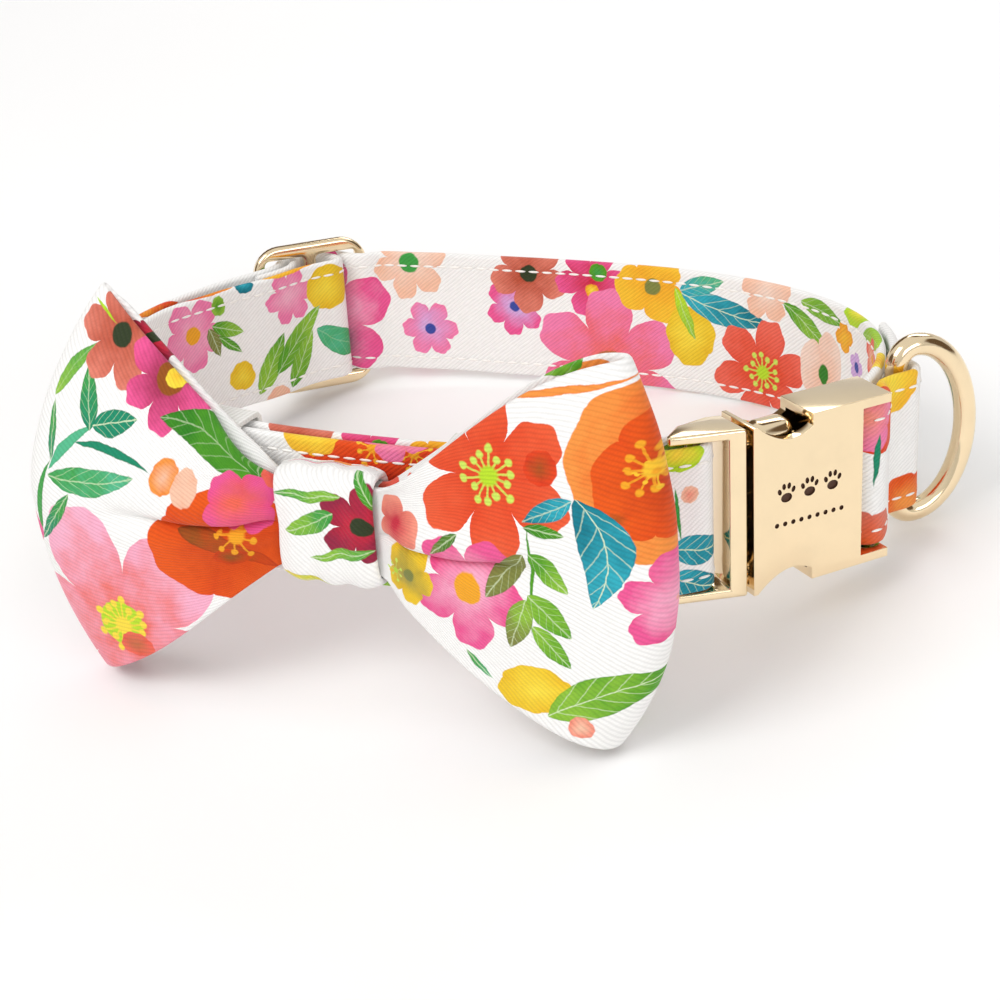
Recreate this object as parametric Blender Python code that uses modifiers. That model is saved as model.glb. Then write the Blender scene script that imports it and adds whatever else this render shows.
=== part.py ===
"""Pet bow tie collar: a printed cloth strap with metal buckle halves, slider and D-ring, and a bow.

The collar is laid out in its own plan frame, +X along the ring's long axis, -Y to the front where the
bow sits and +Z up the strap, then stood on the bow's two lower tips and the back of the ring.
Lengths below are in millimetres and are turned to metres where meshes are made.
"""

from math import atan2, cos, hypot, pi, radians, sin

import bmesh
import bpy
import numpy as np
from mathutils import Matrix, Vector

MM = 0.001
GAP = 0.35  # clearance between touching pieces

# Strap
BAND_W = 25.0
BAND_T = 1.8
BAND_MID = BAND_W / 2
LAYER = BAND_T + GAP  # pitch of layers lying on each other
RIBBON_STEP = 6.4  # longest flat length of strap between two bends

# Plan of the strap's outer line, from the plug's end bar round the left, back and right
RING_PLAN = (
    (46.0, -38.9),
    (33.0, -45.4),
    (19.0, -49.2),
    (3.0, -49.9),
    (-17.8, -48.6),
    (-35.0, -45.4),
    (-50.5, -39.0),
    (-62.5, -28.8),
    (-69.5, -14.5),
    (-69.9, 1.0),
    (-65.4, 15.8),
    (-58.2, 28.2),
    (-46.5, 39.6),
    (-32.0, 44.3),
    (-12.7, 44.6),
    (8.2, 44.0),
    (28.5, 41.4),
    (45.8, 35.4),
    (59.2, 25.4),
    (67.0, 12.0),
    (68.8, -2.0),
    (66.6, -14.8),
)

# Slider (tri-glide)
SLIDER_L = 23.6
SLIDER_H = 31.4
SLIDER_T = 2.2
SLIDER_BAR = 2.4
SLIDER_RAIL = 2.7
SLIDER_CORNER = 5.5
SLIDER_PLAN = (-51.6, 38.0)
SLIDER_TURN = 39.0

# Buckle
BUCKLE_H = 28.8
BUCKLE_T = 9.0
RAIL = BUCKLE_H / 2 - BAND_MID - GAP  # metal above and below the strap
PLUG_BAR = (46.0, -38.9)
PLUG_TURN = 30.3
PLUG_L = 8.1  # bar's centre to the shoulder, on the outer face
PLUG_FACE = 3.3  # bar's centre to the outer face
PLUG_BACK = 3.8  # bar's centre to the inner face at the shoulder
SOCKET_TURN = 46.0
SOCKET_PLAN = (52.0, -34.7)  # middle of the socket's mouth
SOCKET_BAR = (69.6, -16.6)
SOCKET_WALL = 1.45
BAR_R = 1.2
LOOP_R = BAR_R + GAP + 0.15 + BAND_T / 2  # strap centreline round a buckle bar
NOTCH = (1.6, 11.6)
NOTCH_DEEP = 3.2

# D-ring
RING_WIRE = 3.8
RING_AXIS = (72.0, -1.6)
RING_TURN = 36.0
RING_REACH = 15.1  # bar's centre to the outside of the bow of the D
RING_TOP = 30.0
RING_FOOT = -4.2

# Bow
BOW_AT = (-8.0, -50.2)  # where the bow's middle meets the strap's outer face
BOW_TURN = -3.6
BOW_HALF = 57.0
BOW_CORNER = {1: 50.0, -1: 47.0}  # right and left wing
BOW_HIGH = 32.9
RIGHT_TRIM = 2.6  # the right wing's lower half is this much shorter
BOW_PINCH = 7.5
BOW_MID = 12.9
LEFT_SWEEP = 5.0  # the left wing follows the strap back
LEFT_TWIST = 6.0
CLOTH_T = 1.5
KNOT_W = 17.0
KNOT_DEEP = 8.6
KNOT_H = 20.6
WEB_AT = 23.0  # elastic loops, from the bow's middle
WEB_W = 9.0
WEB_T = 0.9

FABRIC = (0.92, 0.78, 0.74, 1.0)
GOLD = (0.95, 0.82, 0.62, 1.0)
ELASTIC = (0.9, 0.9, 0.88, 1.0)


def clear_scene():
    for obj in list(bpy.data.objects):
        bpy.data.objects.remove(obj, do_unlink=True)


def new_collection(name):
    collection = bpy.data.collections.new(name)
    bpy.context.scene.collection.children.link(collection)
    return collection


def make_material(name, colour, roughness, metallic):
    material = bpy.data.materials.new(name)
    material.use_nodes = True
    shader = material.node_tree.nodes["Principled BSDF"]
    shader.inputs["Base Color"].default_value = colour
    shader.inputs["Roughness"].default_value = roughness
    shader.inputs["Metallic"].default_value = metallic
    return material


def add_object(name, mesh, material, parent, collection):
    obj = bpy.data.objects.new(name, mesh)
    mesh.materials.append(material)
    collection.objects.link(obj)
    obj.parent = parent
    return obj


# ---------------------------------------------------------------- plan curves


def smooth_line(points, per_span=10):
    """A centripetal Catmull-Rom curve through the points, which has no loops at close points."""
    pts = np.array(points, float)
    ring = np.vstack([2 * pts[0] - pts[1], pts, 2 * pts[-1] - pts[-2]])
    knots = np.concatenate([[0.0], np.cumsum(np.linalg.norm(np.diff(ring, axis=0), axis=1) ** 0.5)])
    out = []
    for i in range(len(pts) - 1):
        p = ring[i : i + 4]
        k = knots[i : i + 4]
        for step in range(per_span):
            t = k[1] + (k[2] - k[1]) * step / per_span
            a = [p[j] + (p[j + 1] - p[j]) * (t - k[j]) / (k[j + 1] - k[j]) for j in range(3)]
            b = [a[j] + (a[j + 1] - a[j]) * (t - k[j]) / (k[j + 2] - k[j]) for j in range(2)]
            out.append(b[0] + (b[1] - b[0]) * (t - k[1]) / (k[2] - k[1]))
    out.append(pts[-1])
    return np.array(out)


def lengths_along(line):
    steps = np.linalg.norm(np.diff(line, axis=0), axis=1)
    return np.concatenate([[0.0], np.cumsum(steps)])


def evenly(line, step):
    """The same curve with points about one step apart."""
    along = lengths_along(line)
    count = max(2, int(round(along[-1] / step)) + 1)
    where = np.linspace(0.0, along[-1], count)
    return np.column_stack([np.interp(where, along, line[:, k]) for k in range(line.shape[1])])


class PlanLine:
    """The ring's plan line: points by length along it and by offset outwards."""

    def __init__(self, points):
        self.line = smooth_line(points, 24)
        self.along = lengths_along(self.line)
        self.length = self.along[-1]

    def at(self, s):
        s = min(max(s, 0.0), self.length)
        return np.array([np.interp(s, self.along, self.line[:, k]) for k in (0, 1)])

    def direction(self, s):
        d = self.at(s + 0.6) - self.at(s - 0.6)
        return d / np.linalg.norm(d)

    def offset(self, s, n):
        d = self.direction(s)
        return self.at(s) + n * np.array([-d[1], d[0]])

    def nearest(self, point):
        gaps = np.linalg.norm(self.line - np.array(point), axis=1)
        return self.along[int(np.argmin(gaps))]


def local_to_plan(origin, turn, along, outward):
    """A point given along a piece and outwards from the ring, as plan X and Y."""
    c, s = cos(radians(turn)), sin(radians(turn))
    return np.array([origin[0] + along * c + outward * s, origin[1] + along * s - outward * c])


def arc_points(centre, radius, start, end, count):
    angles = np.radians(np.linspace(start, end, count))
    return [(centre[0] + radius * cos(a), centre[1] + radius * sin(a)) for a in angles]


def slider_to_plan(along, outward):
    """Along the slider towards the back run, and outwards from the ring."""
    c, s = cos(radians(SLIDER_TURN)), sin(radians(SLIDER_TURN))
    return (
        SLIDER_PLAN[0] + along * c - outward * s,
        SLIDER_PLAN[1] + along * s + outward * c,
    )


def strap_route():
    """The strap's centreline in plan, from its sewn end at the slider to its sewn tail past the D-ring."""
    ring = PlanLine(RING_PLAN)
    over = SLIDER_T / 2 + GAP + BAND_T / 2
    end_bar = (SLIDER_L - SLIDER_BAR) / 2
    # Sewn end: a tail between the layers, then a slack loop round the slider's middle bar
    loop = (
        (-12.6, -6.4),
        (-8.5, -5.0),
        (-5.0, -2.9),
        (-3.2, 0.2),
        (-1.8, over - 0.1),
        (0.8, over),
        (3.3, 1.2),
        (5.0, -0.7),
        (5.3, -2.8),
        (3.9, -4.2),
        (0.8, -4.5),
        (-3.4, -5.4),
        (-8.0, -7.4),
        (-12.0, -9.1),
    )
    route = [slider_to_plan(*p) for p in loop]
    # Inner layer, along the ring's left side and behind the bow to the plug
    start = ring.nearest(slider_to_plan(-12.0, -over))
    inner = -(LAYER + 0.55)
    route += [tuple(ring.offset(start + step, n)) for step, n in ((-8.5, -4.7), (-17.0, -4.0))]
    s = start - 26.0
    while s > 16.0:
        route.append(tuple(ring.offset(s, inner)))
        s -= 9.0
    # Round the plug's bar, from the inside to the outside
    route.append(tuple(local_to_plan(PLUG_BAR, PLUG_TURN, -6.0, -2.3)))
    route += arc_points(PLUG_BAR, LOOP_R, PLUG_TURN + 90, PLUG_TURN - 90, 9)
    route.append(tuple(local_to_plan(PLUG_BAR, PLUG_TURN, -5.5, 2.7)))
    # Outer layer behind the bow and round the left, then through the slider
    s = 17.0
    while s < start - 7.0:
        route.append(tuple(ring.offset(s, 0.0)))
        s += 9.0
    top = over + BAND_T + GAP + 0.3
    passing = (
        (-end_bar - 0.4, -over - 0.9),
        (-7.4, -1.3),
        (-5.3, 2.0),
        (-2.8, top - 0.3),
        (0.0, top),
        (3.0, top - 0.9),
        (5.8, 1.6),
        (8.2, -1.5),
        (end_bar, -over - 0.9),
        (end_bar + 3.2, -over - 1.3),
    )
    route += [slider_to_plan(*p) for p in passing]
    # The single run round the back and right
    s = ring.nearest(slider_to_plan(end_bar + 3.2, -over)) + 8.0
    while s < ring.length - 9.0:
        route.append(tuple(ring.offset(s, 0.0)))
        s += 9.0
    # Round the socket's bar, from the inside to the outside, and down to the seam
    route += arc_points(SOCKET_BAR, LOOP_R, 165, 365, 9)
    route += [(71.9, -12.2), (70.7, -9.0)]
    # Round the D-ring's bar and down again to the sewn tail
    pocket = RING_WIRE / 2 + GAP + BAND_T / 2 + 0.1
    route += [(72.0, -6.3)]
    route += arc_points(RING_AXIS, pocket, -45, 50, 5)
    route += [(72.6, 3.0), (70.9, 6.0), (69.9, 10.0), (68.6, 14.5), (66.7, 18.8)]
    return route


def strip_mesh(name, line, low, high):
    """An upright ribbon of quads over a plan line, from the low edge to the high one."""
    bm = bmesh.new()
    rows = [
        (bm.verts.new((x * MM, y * MM, low * MM)), bm.verts.new((x * MM, y * MM, high * MM)))
        for x, y in line
    ]
    for (a, b), (c, d) in zip(rows, rows[1:]):
        bm.faces.new((a, c, d, b))
    mesh = bpy.data.meshes.new(name)
    bm.to_mesh(mesh)
    bm.free()
    return mesh


def add_wall(obj, thickness):
    wall = obj.modifiers.new("Wall", "SOLIDIFY")
    wall.thickness = thickness * MM
    wall.offset = 0.0
    wall.use_even_offset = True
    return wall


def thin_route(line, step, tight):
    """Points of a dense curve, kept closer where it bends."""
    kept = [line[0]]
    last = 0
    for i in range(1, len(line) - 1):
        way = np.linalg.norm(line[i] - line[last])
        before = line[last + 1] - line[last]
        after = line[i + 1] - line[i]
        turned = abs(atan2(np.cross(before, after), np.dot(before, after)))
        if way >= step or turned >= tight:
            kept.append(line[i])
            last = i
    kept.append(line[-1])
    return kept


def build_strap(parent, collection, material):
    dense = evenly(smooth_line(strap_route(), 24), 0.25)
    line = thin_route(dense, RIBBON_STEP, radians(11))
    mesh = strip_mesh("collar_strap", line, 0.0, BAND_W)
    strap = add_object("collar_strap", mesh, material, parent, collection)
    add_wall(strap, BAND_T)
    return strap


# ---------------------------------------------------------------- metal parts


def outline_curve(name, loops, thickness, collection):
    """A flat plate from closed outlines, the first outside and the others its windows."""
    curve = bpy.data.curves.new(name, "CURVE")
    curve.dimensions = "2D"
    curve.fill_mode = "BOTH"
    curve.extrude = thickness / 2 * MM
    for loop in loops:
        spline = curve.splines.new("POLY")
        spline.points.add(len(loop) - 1)
        spline.use_cyclic_u = True
        for point, (x, y) in zip(spline.points, loop):
            point.co = (x * MM, y * MM, 0.0, 1.0)
    obj = bpy.data.objects.new(name, curve)
    collection.objects.link(obj)
    return obj


def to_mesh_object(obj, name, material, parent, collection):
    """A welded mesh in place of a curve object."""
    bpy.context.view_layer.update()
    graph = bpy.context.evaluated_depsgraph_get()
    mesh = bpy.data.meshes.new_from_object(obj.evaluated_get(graph))
    mesh.name = name
    bm = bmesh.new()
    bm.from_mesh(mesh)
    bmesh.ops.remove_doubles(bm, verts=bm.verts, dist=0.01 * MM)
    bmesh.ops.recalc_face_normals(bm, faces=bm.faces)
    bm.to_mesh(mesh)
    bm.free()
    mesh.materials.clear()
    made = bpy.data.objects.new(name, mesh)
    mesh.materials.append(material)
    made.matrix_world = obj.matrix_world.copy()
    collection.objects.link(made)
    made.parent = parent
    bpy.data.objects.remove(obj, do_unlink=True)
    return made


def rounded_rectangle(x0, x1, y0, y1, radius, steps=4):
    points = []
    corners = ((x1, y1, 0), (x0, y1, 90), (x0, y0, 180), (x1, y0, 270))
    for cx, cy, start in corners:
        mx = cx - radius if cx == x1 else cx + radius
        my = cy - radius if cy == y1 else cy + radius
        points += arc_points((mx, my), radius, start, start + 90, steps + 1)
    return points


def upright(origin, turn, height=0.0):
    """Places a plate drawn in X and Y upright: X along the turn in plan, Y up, its back to the inside."""
    c, s = cos(radians(turn)), sin(radians(turn))
    matrix = Matrix(((c, 0, s, 0), (s, 0, -c, 0), (0, 1, 0, 0), (0, 0, 0, 1)))
    matrix.translation = Vector((origin[0], origin[1], height)) * MM
    return matrix


def build_slider(parent, collection, material):
    half_l, half_h = SLIDER_L / 2, SLIDER_H / 2
    window = half_l - SLIDER_BAR * 1.5
    loops = [rounded_rectangle(-half_l, half_l, -half_h, half_h, SLIDER_CORNER)]
    for side in (-1, 1):
        x0, x1 = sorted((side * SLIDER_BAR / 2, side * (SLIDER_BAR / 2 + window)))
        loops.append(rounded_rectangle(x0, x1, -half_h + SLIDER_RAIL, half_h - SLIDER_RAIL, 1.0, 3))
    plate = outline_curve("slider_plate", loops, SLIDER_T, collection)
    plate.matrix_world = upright(SLIDER_PLAN, SLIDER_TURN + 180, BAND_MID)
    slider = to_mesh_object(plate, "slider", material, parent, collection)
    edge = slider.modifiers.new("Edges", "BEVEL")
    edge.width = 0.7 * MM
    edge.segments = 2
    edge.limit_method = "ANGLE"
    edge.angle_limit = radians(50)
    return slider


def cutter(name, mesh, tools):
    obj = bpy.data.objects.new(name, mesh)
    tools.objects.link(obj)
    obj.hide_render = True
    obj.display_type = "WIRE"
    return obj


def block_mesh(name, x0, x1, y0, y1, z0, z1):
    bm = bmesh.new()
    bmesh.ops.create_cube(bm, size=1.0)
    for vert in bm.verts:
        vert.co = Vector(
            (
                (x0 + x1) / 2 + vert.co.x * (x1 - x0),
                (y0 + y1) / 2 + vert.co.y * (y1 - y0),
                (z0 + z1) / 2 + vert.co.z * (z1 - z0),
            )
        ) * MM
    mesh = bpy.data.meshes.new(name)
    bm.to_mesh(mesh)
    bm.free()
    return mesh


def bar_mesh(name, x, y, radius, z0, z1, sides=16):
    """An upright round bar."""
    bm = bmesh.new()
    bmesh.ops.create_cone(
        bm, cap_ends=True, segments=sides, radius1=radius * MM, radius2=radius * MM, depth=(z1 - z0) * MM
    )
    for vert in bm.verts:
        vert.co += Vector((x, y, (z0 + z1) / 2)) * MM
    mesh = bpy.data.meshes.new(name)
    bm.to_mesh(mesh)
    bm.free()
    return mesh


def turned(mesh, origin, turn):
    """A mesh drawn with X along a buckle half and -Y outwards, taken to its place in plan."""
    place = Matrix.Translation((origin[0] * MM, origin[1] * MM, 0))
    mesh.transform(place @ Matrix.Rotation(radians(turn), 4, "Z"))
    return mesh


def combine(name, first, others, steps, tools, material, parent, collection):
    """The first mesh joined with, or cut by, each of the others in turn."""
    obj = add_object(name, first, material, parent, collection)
    for i, mesh in enumerate(others):
        tool = cutter(f"{name}_tool_{i}", mesh, tools)
        tool.parent = parent
        step = obj.modifiers.new(f"Step{i}", "BOOLEAN")
        step.operation = steps[i]
        step.object = tool
        step.solver = "EXACT"
    return obj


def wedge_mesh(name, front, back, face, deep, z0, z1):
    """A block whose outer face spans front along its length and whose inner face spans back."""
    mesh = block_mesh(name, 0.0, 1.0, 0.0, 1.0, z0, z1)
    for vert in mesh.vertices:
        inner = vert.co.y > 0.5 * MM
        ends = back if inner else front
        vert.co.x = ends[1 if vert.co.x > 0.5 * MM else 0] * MM
        vert.co.y = (deep if inner else face) * MM
    return mesh


def build_plug(parent, collection, tools, material):
    """The plug: a frame round the strap's bar, a shoulder wall, two sprung prongs and a tongue."""
    low, high = BAND_MID - BUCKLE_H / 2, BAND_MID + BUCKLE_H / 2
    slant = (PLUG_FACE + PLUG_BACK) * sin(radians(SOCKET_TURN - PLUG_TURN))
    front = (-BAR_R, PLUG_L)
    back = (0.4, PLUG_L - slant)
    frame = wedge_mesh("plug_frame", front, back, -PLUG_FACE, PLUG_BACK, low, high)
    wall = 2.7
    window = wedge_mesh(
        "plug_window",
        (-4.0, PLUG_L - wall),
        (-4.0, PLUG_L - wall - 1.4),
        -PLUG_FACE - 1,
        PLUG_BACK + 1,
        low + RAIL,
        high - RAIL,
    )
    bar = bar_mesh("plug_bar", 0.0, 0.0, BAR_R, low + RAIL / 2, high - RAIL / 2)
    relief_back = (-4.0, 3.4)
    relief = wedge_mesh(
        "plug_relief", (-4.0, -4.0), relief_back, BAR_R + 0.8, PLUG_BACK + 1, low - 1, high + 1
    )
    parts = [turned(m, PLUG_BAR, PLUG_TURN) for m in (relief, window, bar)]
    steps = ["DIFFERENCE", "DIFFERENCE", "UNION"]
    for side in (-1, 1):
        z0, z1 = sorted((BAND_MID + side * 6.2, BAND_MID + side * 10.8))
        prong = block_mesh(f"plug_prong_{side}", -1.7, 15.0, -1.6, 1.6, z0, z1)
        z0, z1 = sorted((BAND_MID + side * 8.3, BAND_MID + side * (BUCKLE_H / 2 - 1.1)))
        button = block_mesh(f"plug_button_{side}", NOTCH[0] + 0.5, NOTCH[1] - 1.6, -2.6, 2.6, z0, z1)
        parts.append(turned(prong, SOCKET_PLAN, SOCKET_TURN))
        parts.append(turned(button, SOCKET_PLAN, SOCKET_TURN))
        steps += ["UNION", "UNION"]
    tongue = block_mesh("plug_tongue", -1.7, 11.0, -1.3, 1.3, BAND_MID - 2.2, BAND_MID + 2.2)
    parts.append(turned(tongue, SOCKET_PLAN, SOCKET_TURN))
    steps.append("UNION")
    frame = turned(frame, PLUG_BAR, PLUG_TURN)
    return combine("buckle_plug", frame, parts, steps, tools, material, parent, collection)


def build_socket(parent, collection, tools, material):
    """The socket: a hollow plate with a notch at each side for the prongs, and a frame round its bar."""
    low, high = BAND_MID - BUCKLE_H / 2, BAND_MID + BUCKLE_H / 2
    half = BUCKLE_T / 2
    reach = hypot(SOCKET_BAR[0] - SOCKET_PLAN[0], SOCKET_BAR[1] - SOCKET_PLAN[1])
    face = reach - LOOP_R - BAND_T / 2 - 0.5
    body = block_mesh("socket_body", 0.5, reach + 1.4, -half, half, low, high)
    deep = half - SOCKET_WALL
    hollow = block_mesh(
        "socket_hollow", -1.0, face - SOCKET_WALL, -deep, deep, low + SOCKET_WALL, high - SOCKET_WALL
    )
    slot = block_mesh("socket_slot", face, reach + 4.0, -half - 1, half + 1, low + RAIL, high - RAIL)
    bar = bar_mesh("socket_bar", reach, 0.0, BAR_R, low + RAIL / 2, high - RAIL / 2)
    parts = [turned(m, SOCKET_PLAN, SOCKET_TURN) for m in (hollow, slot, bar)]
    steps = ["DIFFERENCE", "DIFFERENCE", "UNION"]
    for side in (-1, 1):
        edge = BAND_MID + side * BUCKLE_H / 2
        z0, z1 = sorted((edge - side * NOTCH_DEEP, edge + side * 1.0))
        notch = block_mesh(f"socket_notch_{side}", NOTCH[0], NOTCH[1], -half - 1, half + 1, z0, z1)
        parts.append(turned(notch, SOCKET_PLAN, SOCKET_TURN))
        steps.append("DIFFERENCE")
    body = turned(body, SOCKET_PLAN, SOCKET_TURN)
    return combine("buckle_socket", body, parts, steps, tools, material, parent, collection)


def build_ring(parent, collection, material):
    """The D-ring, with its origin on its bar's axis."""
    corner = 3.5
    wire = RING_WIRE / 2
    top, foot = RING_TOP - wire, RING_FOOT + wire
    mid = (top + foot) / 2
    route = [(0.0, foot + corner), (0.0, mid), (0.0, top - corner)]
    route += arc_points((corner, top - corner), corner, 157.5, 90, 4)
    reach = RING_REACH - wire - corner
    for k in range(1, 14):
        a = radians(90 - 180 * k / 14)
        route.append((corner + reach * cos(a), mid + (top - mid) * sin(a)))
    route += arc_points((corner, foot + corner), corner, 270, 202.5, 4)
    curve = bpy.data.curves.new("d_ring", "CURVE")
    curve.dimensions = "3D"
    curve.bevel_depth = wire * MM
    curve.bevel_resolution = 2
    spline = curve.splines.new("POLY")
    spline.points.add(len(route) - 1)
    spline.use_cyclic_u = True
    for point, (r, z) in zip(spline.points, route):
        point.co = (r * MM, 0.0, (z - mid) * MM, 1.0)
    ring = bpy.data.objects.new("d_ring", curve)
    curve.materials.append(material)
    collection.objects.link(ring)
    ring.parent = parent
    ring.location = Vector((RING_AXIS[0], RING_AXIS[1], mid)) * MM
    ring.rotation_euler = (0, 0, radians(RING_TURN))
    return ring


# ---------------------------------------------------------------- bow


def bow_to_plan(along, outward, height):
    """Along the bow, outwards from the strap and up, as a point in metres."""
    c, s = cos(radians(BOW_TURN)), sin(radians(BOW_TURN))
    x = BOW_AT[0] + along * c + outward * s
    y = BOW_AT[1] + along * s - outward * c
    return Vector((x, y, height)) * MM


def wing_section():
    """One wing seen from above: along the bow and outwards, from the front of the pinch to its back."""
    return (
        (0.0, 5.5),
        (9.0, 5.7),
        (16.0, 9.4),
        (28.0, 12.2),
        (42.0, 12.6),
        (52.5, 11.6),
        (56.6, 9.2),
        (56.9, 5.6),
        (53.0, 2.9),
        (42.0, 2.2),
        (28.0, 2.3),
        (16.0, 2.8),
        (9.0, 3.3),
        (0.0, 3.3),
    )


def wing_point(side, along, outward, v, front):
    """Opens the section out over the wing's height, v from -1 at the lower edge to 1 at the upper."""
    throat = KNOT_W / 2 + 0.6
    share = max(0.0, (along - throat) / (BOW_HALF - throat))
    edge = BOW_HALF - (BOW_HALF - BOW_CORNER[side]) * abs(v) ** 2.2
    along = along if along < throat else throat + share * (edge - throat)
    rise = sin(min(share, 1.0) * pi / 2) ** 1.3
    high = BOW_HIGH if side < 0 or v > 0 else BOW_HIGH - RIGHT_TRIM
    height = BOW_MID + v * (BOW_PINCH + (high - BOW_PINCH) * rise)
    if front:
        crease = max(0.0, 1 - share / 0.62)
        dip = 4.2 * crease * min(1.0, share * 8) * np.exp(-(((v + 0.05) / 0.22) ** 2))
        outward -= dip
    if side < 0:
        outward -= LEFT_SWEEP * share**1.5 + LEFT_TWIST * share**2 * max(0.0, v - 0.1) ** 1.2
        along *= 1 - 0.06 * share * max(0.0, v)
    return bow_to_plan(side * along, outward, height)


def build_bow(parent, collection, material):
    section = evenly(smooth_line(wing_section(), 12), 4.4)
    turn_at = int(np.argmax(section[:, 0]))
    rows = 18
    bm = bmesh.new()
    columns = []
    for side in (1, -1):
        order = range(len(section)) if side > 0 else range(len(section) - 2, 0, -1)
        for i in order:
            along, outward = section[i]
            column = []
            for k in range(rows + 1):
                v = -1 + 2 * k / rows
                column.append(bm.verts.new(wing_point(side, along, outward, v, i < turn_at)))
            columns.append(column)
    for left, right in zip(columns, columns[1:] + columns[:1]):
        for k in range(rows):
            bm.faces.new((left[k], right[k], right[k + 1], left[k + 1]))
    mesh = bpy.data.meshes.new("bow_band")
    bm.to_mesh(mesh)
    bm.free()
    bow = add_object("bow_band", mesh, material, parent, collection)
    add_wall(bow, CLOTH_T)
    return bow


def build_knot(parent, collection, material):
    """The band round the bow's middle."""
    half_h = KNOT_H / 2 - CLOTH_T / 2
    back = GAP + CLOTH_T / 2
    front = KNOT_DEEP - CLOTH_T / 2
    loop = []
    for a in np.radians(np.arange(0, 360, 15)):
        c, s = cos(a), sin(a)
        u = (back + front) / 2 + (front - back) / 2 * np.sign(c) * abs(c) ** 0.45
        z = BOW_MID + half_h * np.sign(s) * abs(s) ** 0.62
        loop.append((u, z))
    bm = bmesh.new()
    columns = []
    for along in np.linspace(-KNOT_W / 2, KNOT_W / 2, 6):
        columns.append([bm.verts.new(bow_to_plan(along, u, z)) for u, z in loop])
    for left, right in zip(columns, columns[1:]):
        for k in range(len(loop)):
            n = (k + 1) % len(loop)
            bm.faces.new((left[k], right[k], right[n], left[n]))
    mesh = bpy.data.meshes.new("bow_knot")
    bm.to_mesh(mesh)
    bm.free()
    knot = add_object("bow_knot", mesh, material, parent, collection)
    add_wall(knot, CLOTH_T)
    return knot


def build_elastic(side, parent, collection, material):
    """A plain elastic loop round both strap layers, behind one wing."""
    ring = PlanLine(RING_PLAN)
    seat = bow_to_plan(side * WEB_AT, 0.0, 0.0) / MM
    s = ring.nearest((seat.x, seat.y))
    outside = BAND_T / 2 + GAP + WEB_T / 2
    inside = -(LAYER + 0.55 + BAND_T / 2 + GAP + WEB_T / 2)
    reach = GAP + WEB_T / 2
    loop = rounded_rectangle(inside, outside, -reach, BAND_W + reach, 0.9, 3)
    bm = bmesh.new()
    columns = []
    for k in range(4):
        along = s - WEB_W / 2 + WEB_W * k / 3
        column = []
        for n, z in loop:
            x, y = ring.offset(along, n)
            column.append(bm.verts.new((x * MM, y * MM, z * MM)))
        columns.append(column)
    for left, right in zip(columns, columns[1:]):
        for k in range(len(loop)):
            n = (k + 1) % len(loop)
            bm.faces.new((left[k], right[k], right[n], left[n]))
    bmesh.ops.recalc_face_normals(bm, faces=bm.faces)
    name = "bow_elastic_left" if side < 0 else "bow_elastic_right"
    mesh = bpy.data.meshes.new(name)
    bm.to_mesh(mesh)
    bm.free()
    loop_object = add_object(name, mesh, material, parent, collection)
    add_wall(loop_object, WEB_T)
    return loop_object


# ---------------------------------------------------------------- stance


def world_points(objects):
    bpy.context.view_layer.update()
    graph = bpy.context.evaluated_depsgraph_get()
    clouds = {}
    for obj in objects:
        evaluated = obj.evaluated_get(graph)
        mesh = evaluated.to_mesh()
        points = np.empty(len(mesh.vertices) * 3)
        mesh.vertices.foreach_get("co", points)
        world = np.array(evaluated.matrix_world)
        clouds[obj.name] = points.reshape(-1, 3) @ world[:3, :3].T + world[:3, 3]
        evaluated.to_mesh_clear()
    return clouds


def stand(frame, objects):
    """Turns the whole collar so that both bow tips and the lowest point at the back share one floor."""
    clouds = world_points(objects)
    bow = clouds["bow_band"]
    left = bow[bow[:, 0] < BOW_AT[0] * MM]
    right = bow[bow[:, 0] > BOW_AT[0] * MM]
    rest = np.vstack([clouds[name] for name in clouds if name != "bow_band"])
    tips = [left[np.argmin(left[:, 2])], right[np.argmin(right[:, 2])]]
    for _ in range(12):
        # The floor holds both tips, and tilts about their line until the back touches it.
        along = tips[1] - tips[0]
        off = rest - tips[0]
        share = off @ along / (along @ along)
        foot = tips[0] + np.outer(share, along)
        flat = np.hypot(rest[:, 0] - foot[:, 0], rest[:, 1] - foot[:, 1])
        rise = rest[:, 2] - foot[:, 2]
        behind = (rest[:, 1] > 0) & (flat > 0.04)
        back = rest[behind][np.argmin((rise / flat)[behind])]
        normal = np.cross(along, back - tips[0])
        normal *= np.sign(normal[2])
        normal /= np.linalg.norm(normal)
        tips = [left[np.argmin(left @ normal)], right[np.argmin(right @ normal)]]
    frame.rotation_mode = "QUATERNION"
    frame.rotation_quaternion = Vector(normal).rotation_difference(Vector((0, 0, 1)))
    points = np.vstack(list(world_points(objects).values()))
    low, high = points.min(0), points.max(0)
    frame.location = Vector((-(low[0] + high[0]) / 2, -(low[1] + high[1]) / 2, -low[2]))
    bpy.context.view_layer.update()


def main():
    clear_scene()
    collection = new_collection("pet_bow_tie_collar")
    tools = new_collection("cutters")
    frame = bpy.data.objects.new("collar_frame", None)
    collection.objects.link(frame)
    fabric = make_material("printed_cloth", FABRIC, 0.85, 0.0)
    bow_cloth = make_material("bow_cloth", FABRIC, 0.85, 0.0)
    knot_cloth = make_material("knot_cloth", FABRIC, 0.85, 0.0)
    elastic = make_material("elastic", ELASTIC, 0.9, 0.0)
    metals = {}
    for name in ("plug", "socket", "slider", "ring"):
        metals[name] = make_material(name + "_metal", GOLD, 0.18, 1.0)
    objects = [
        build_strap(frame, collection, fabric),
        build_slider(frame, collection, metals["slider"]),
        build_plug(frame, collection, tools, metals["plug"]),
        build_socket(frame, collection, tools, metals["socket"]),
        build_ring(frame, collection, metals["ring"]),
        build_bow(frame, collection, bow_cloth),
        build_knot(frame, collection, knot_cloth),
        build_elastic(-1, frame, collection, elastic),
        build_elastic(1, frame, collection, elastic),
    ]
    stand(frame, objects)


main()
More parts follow.
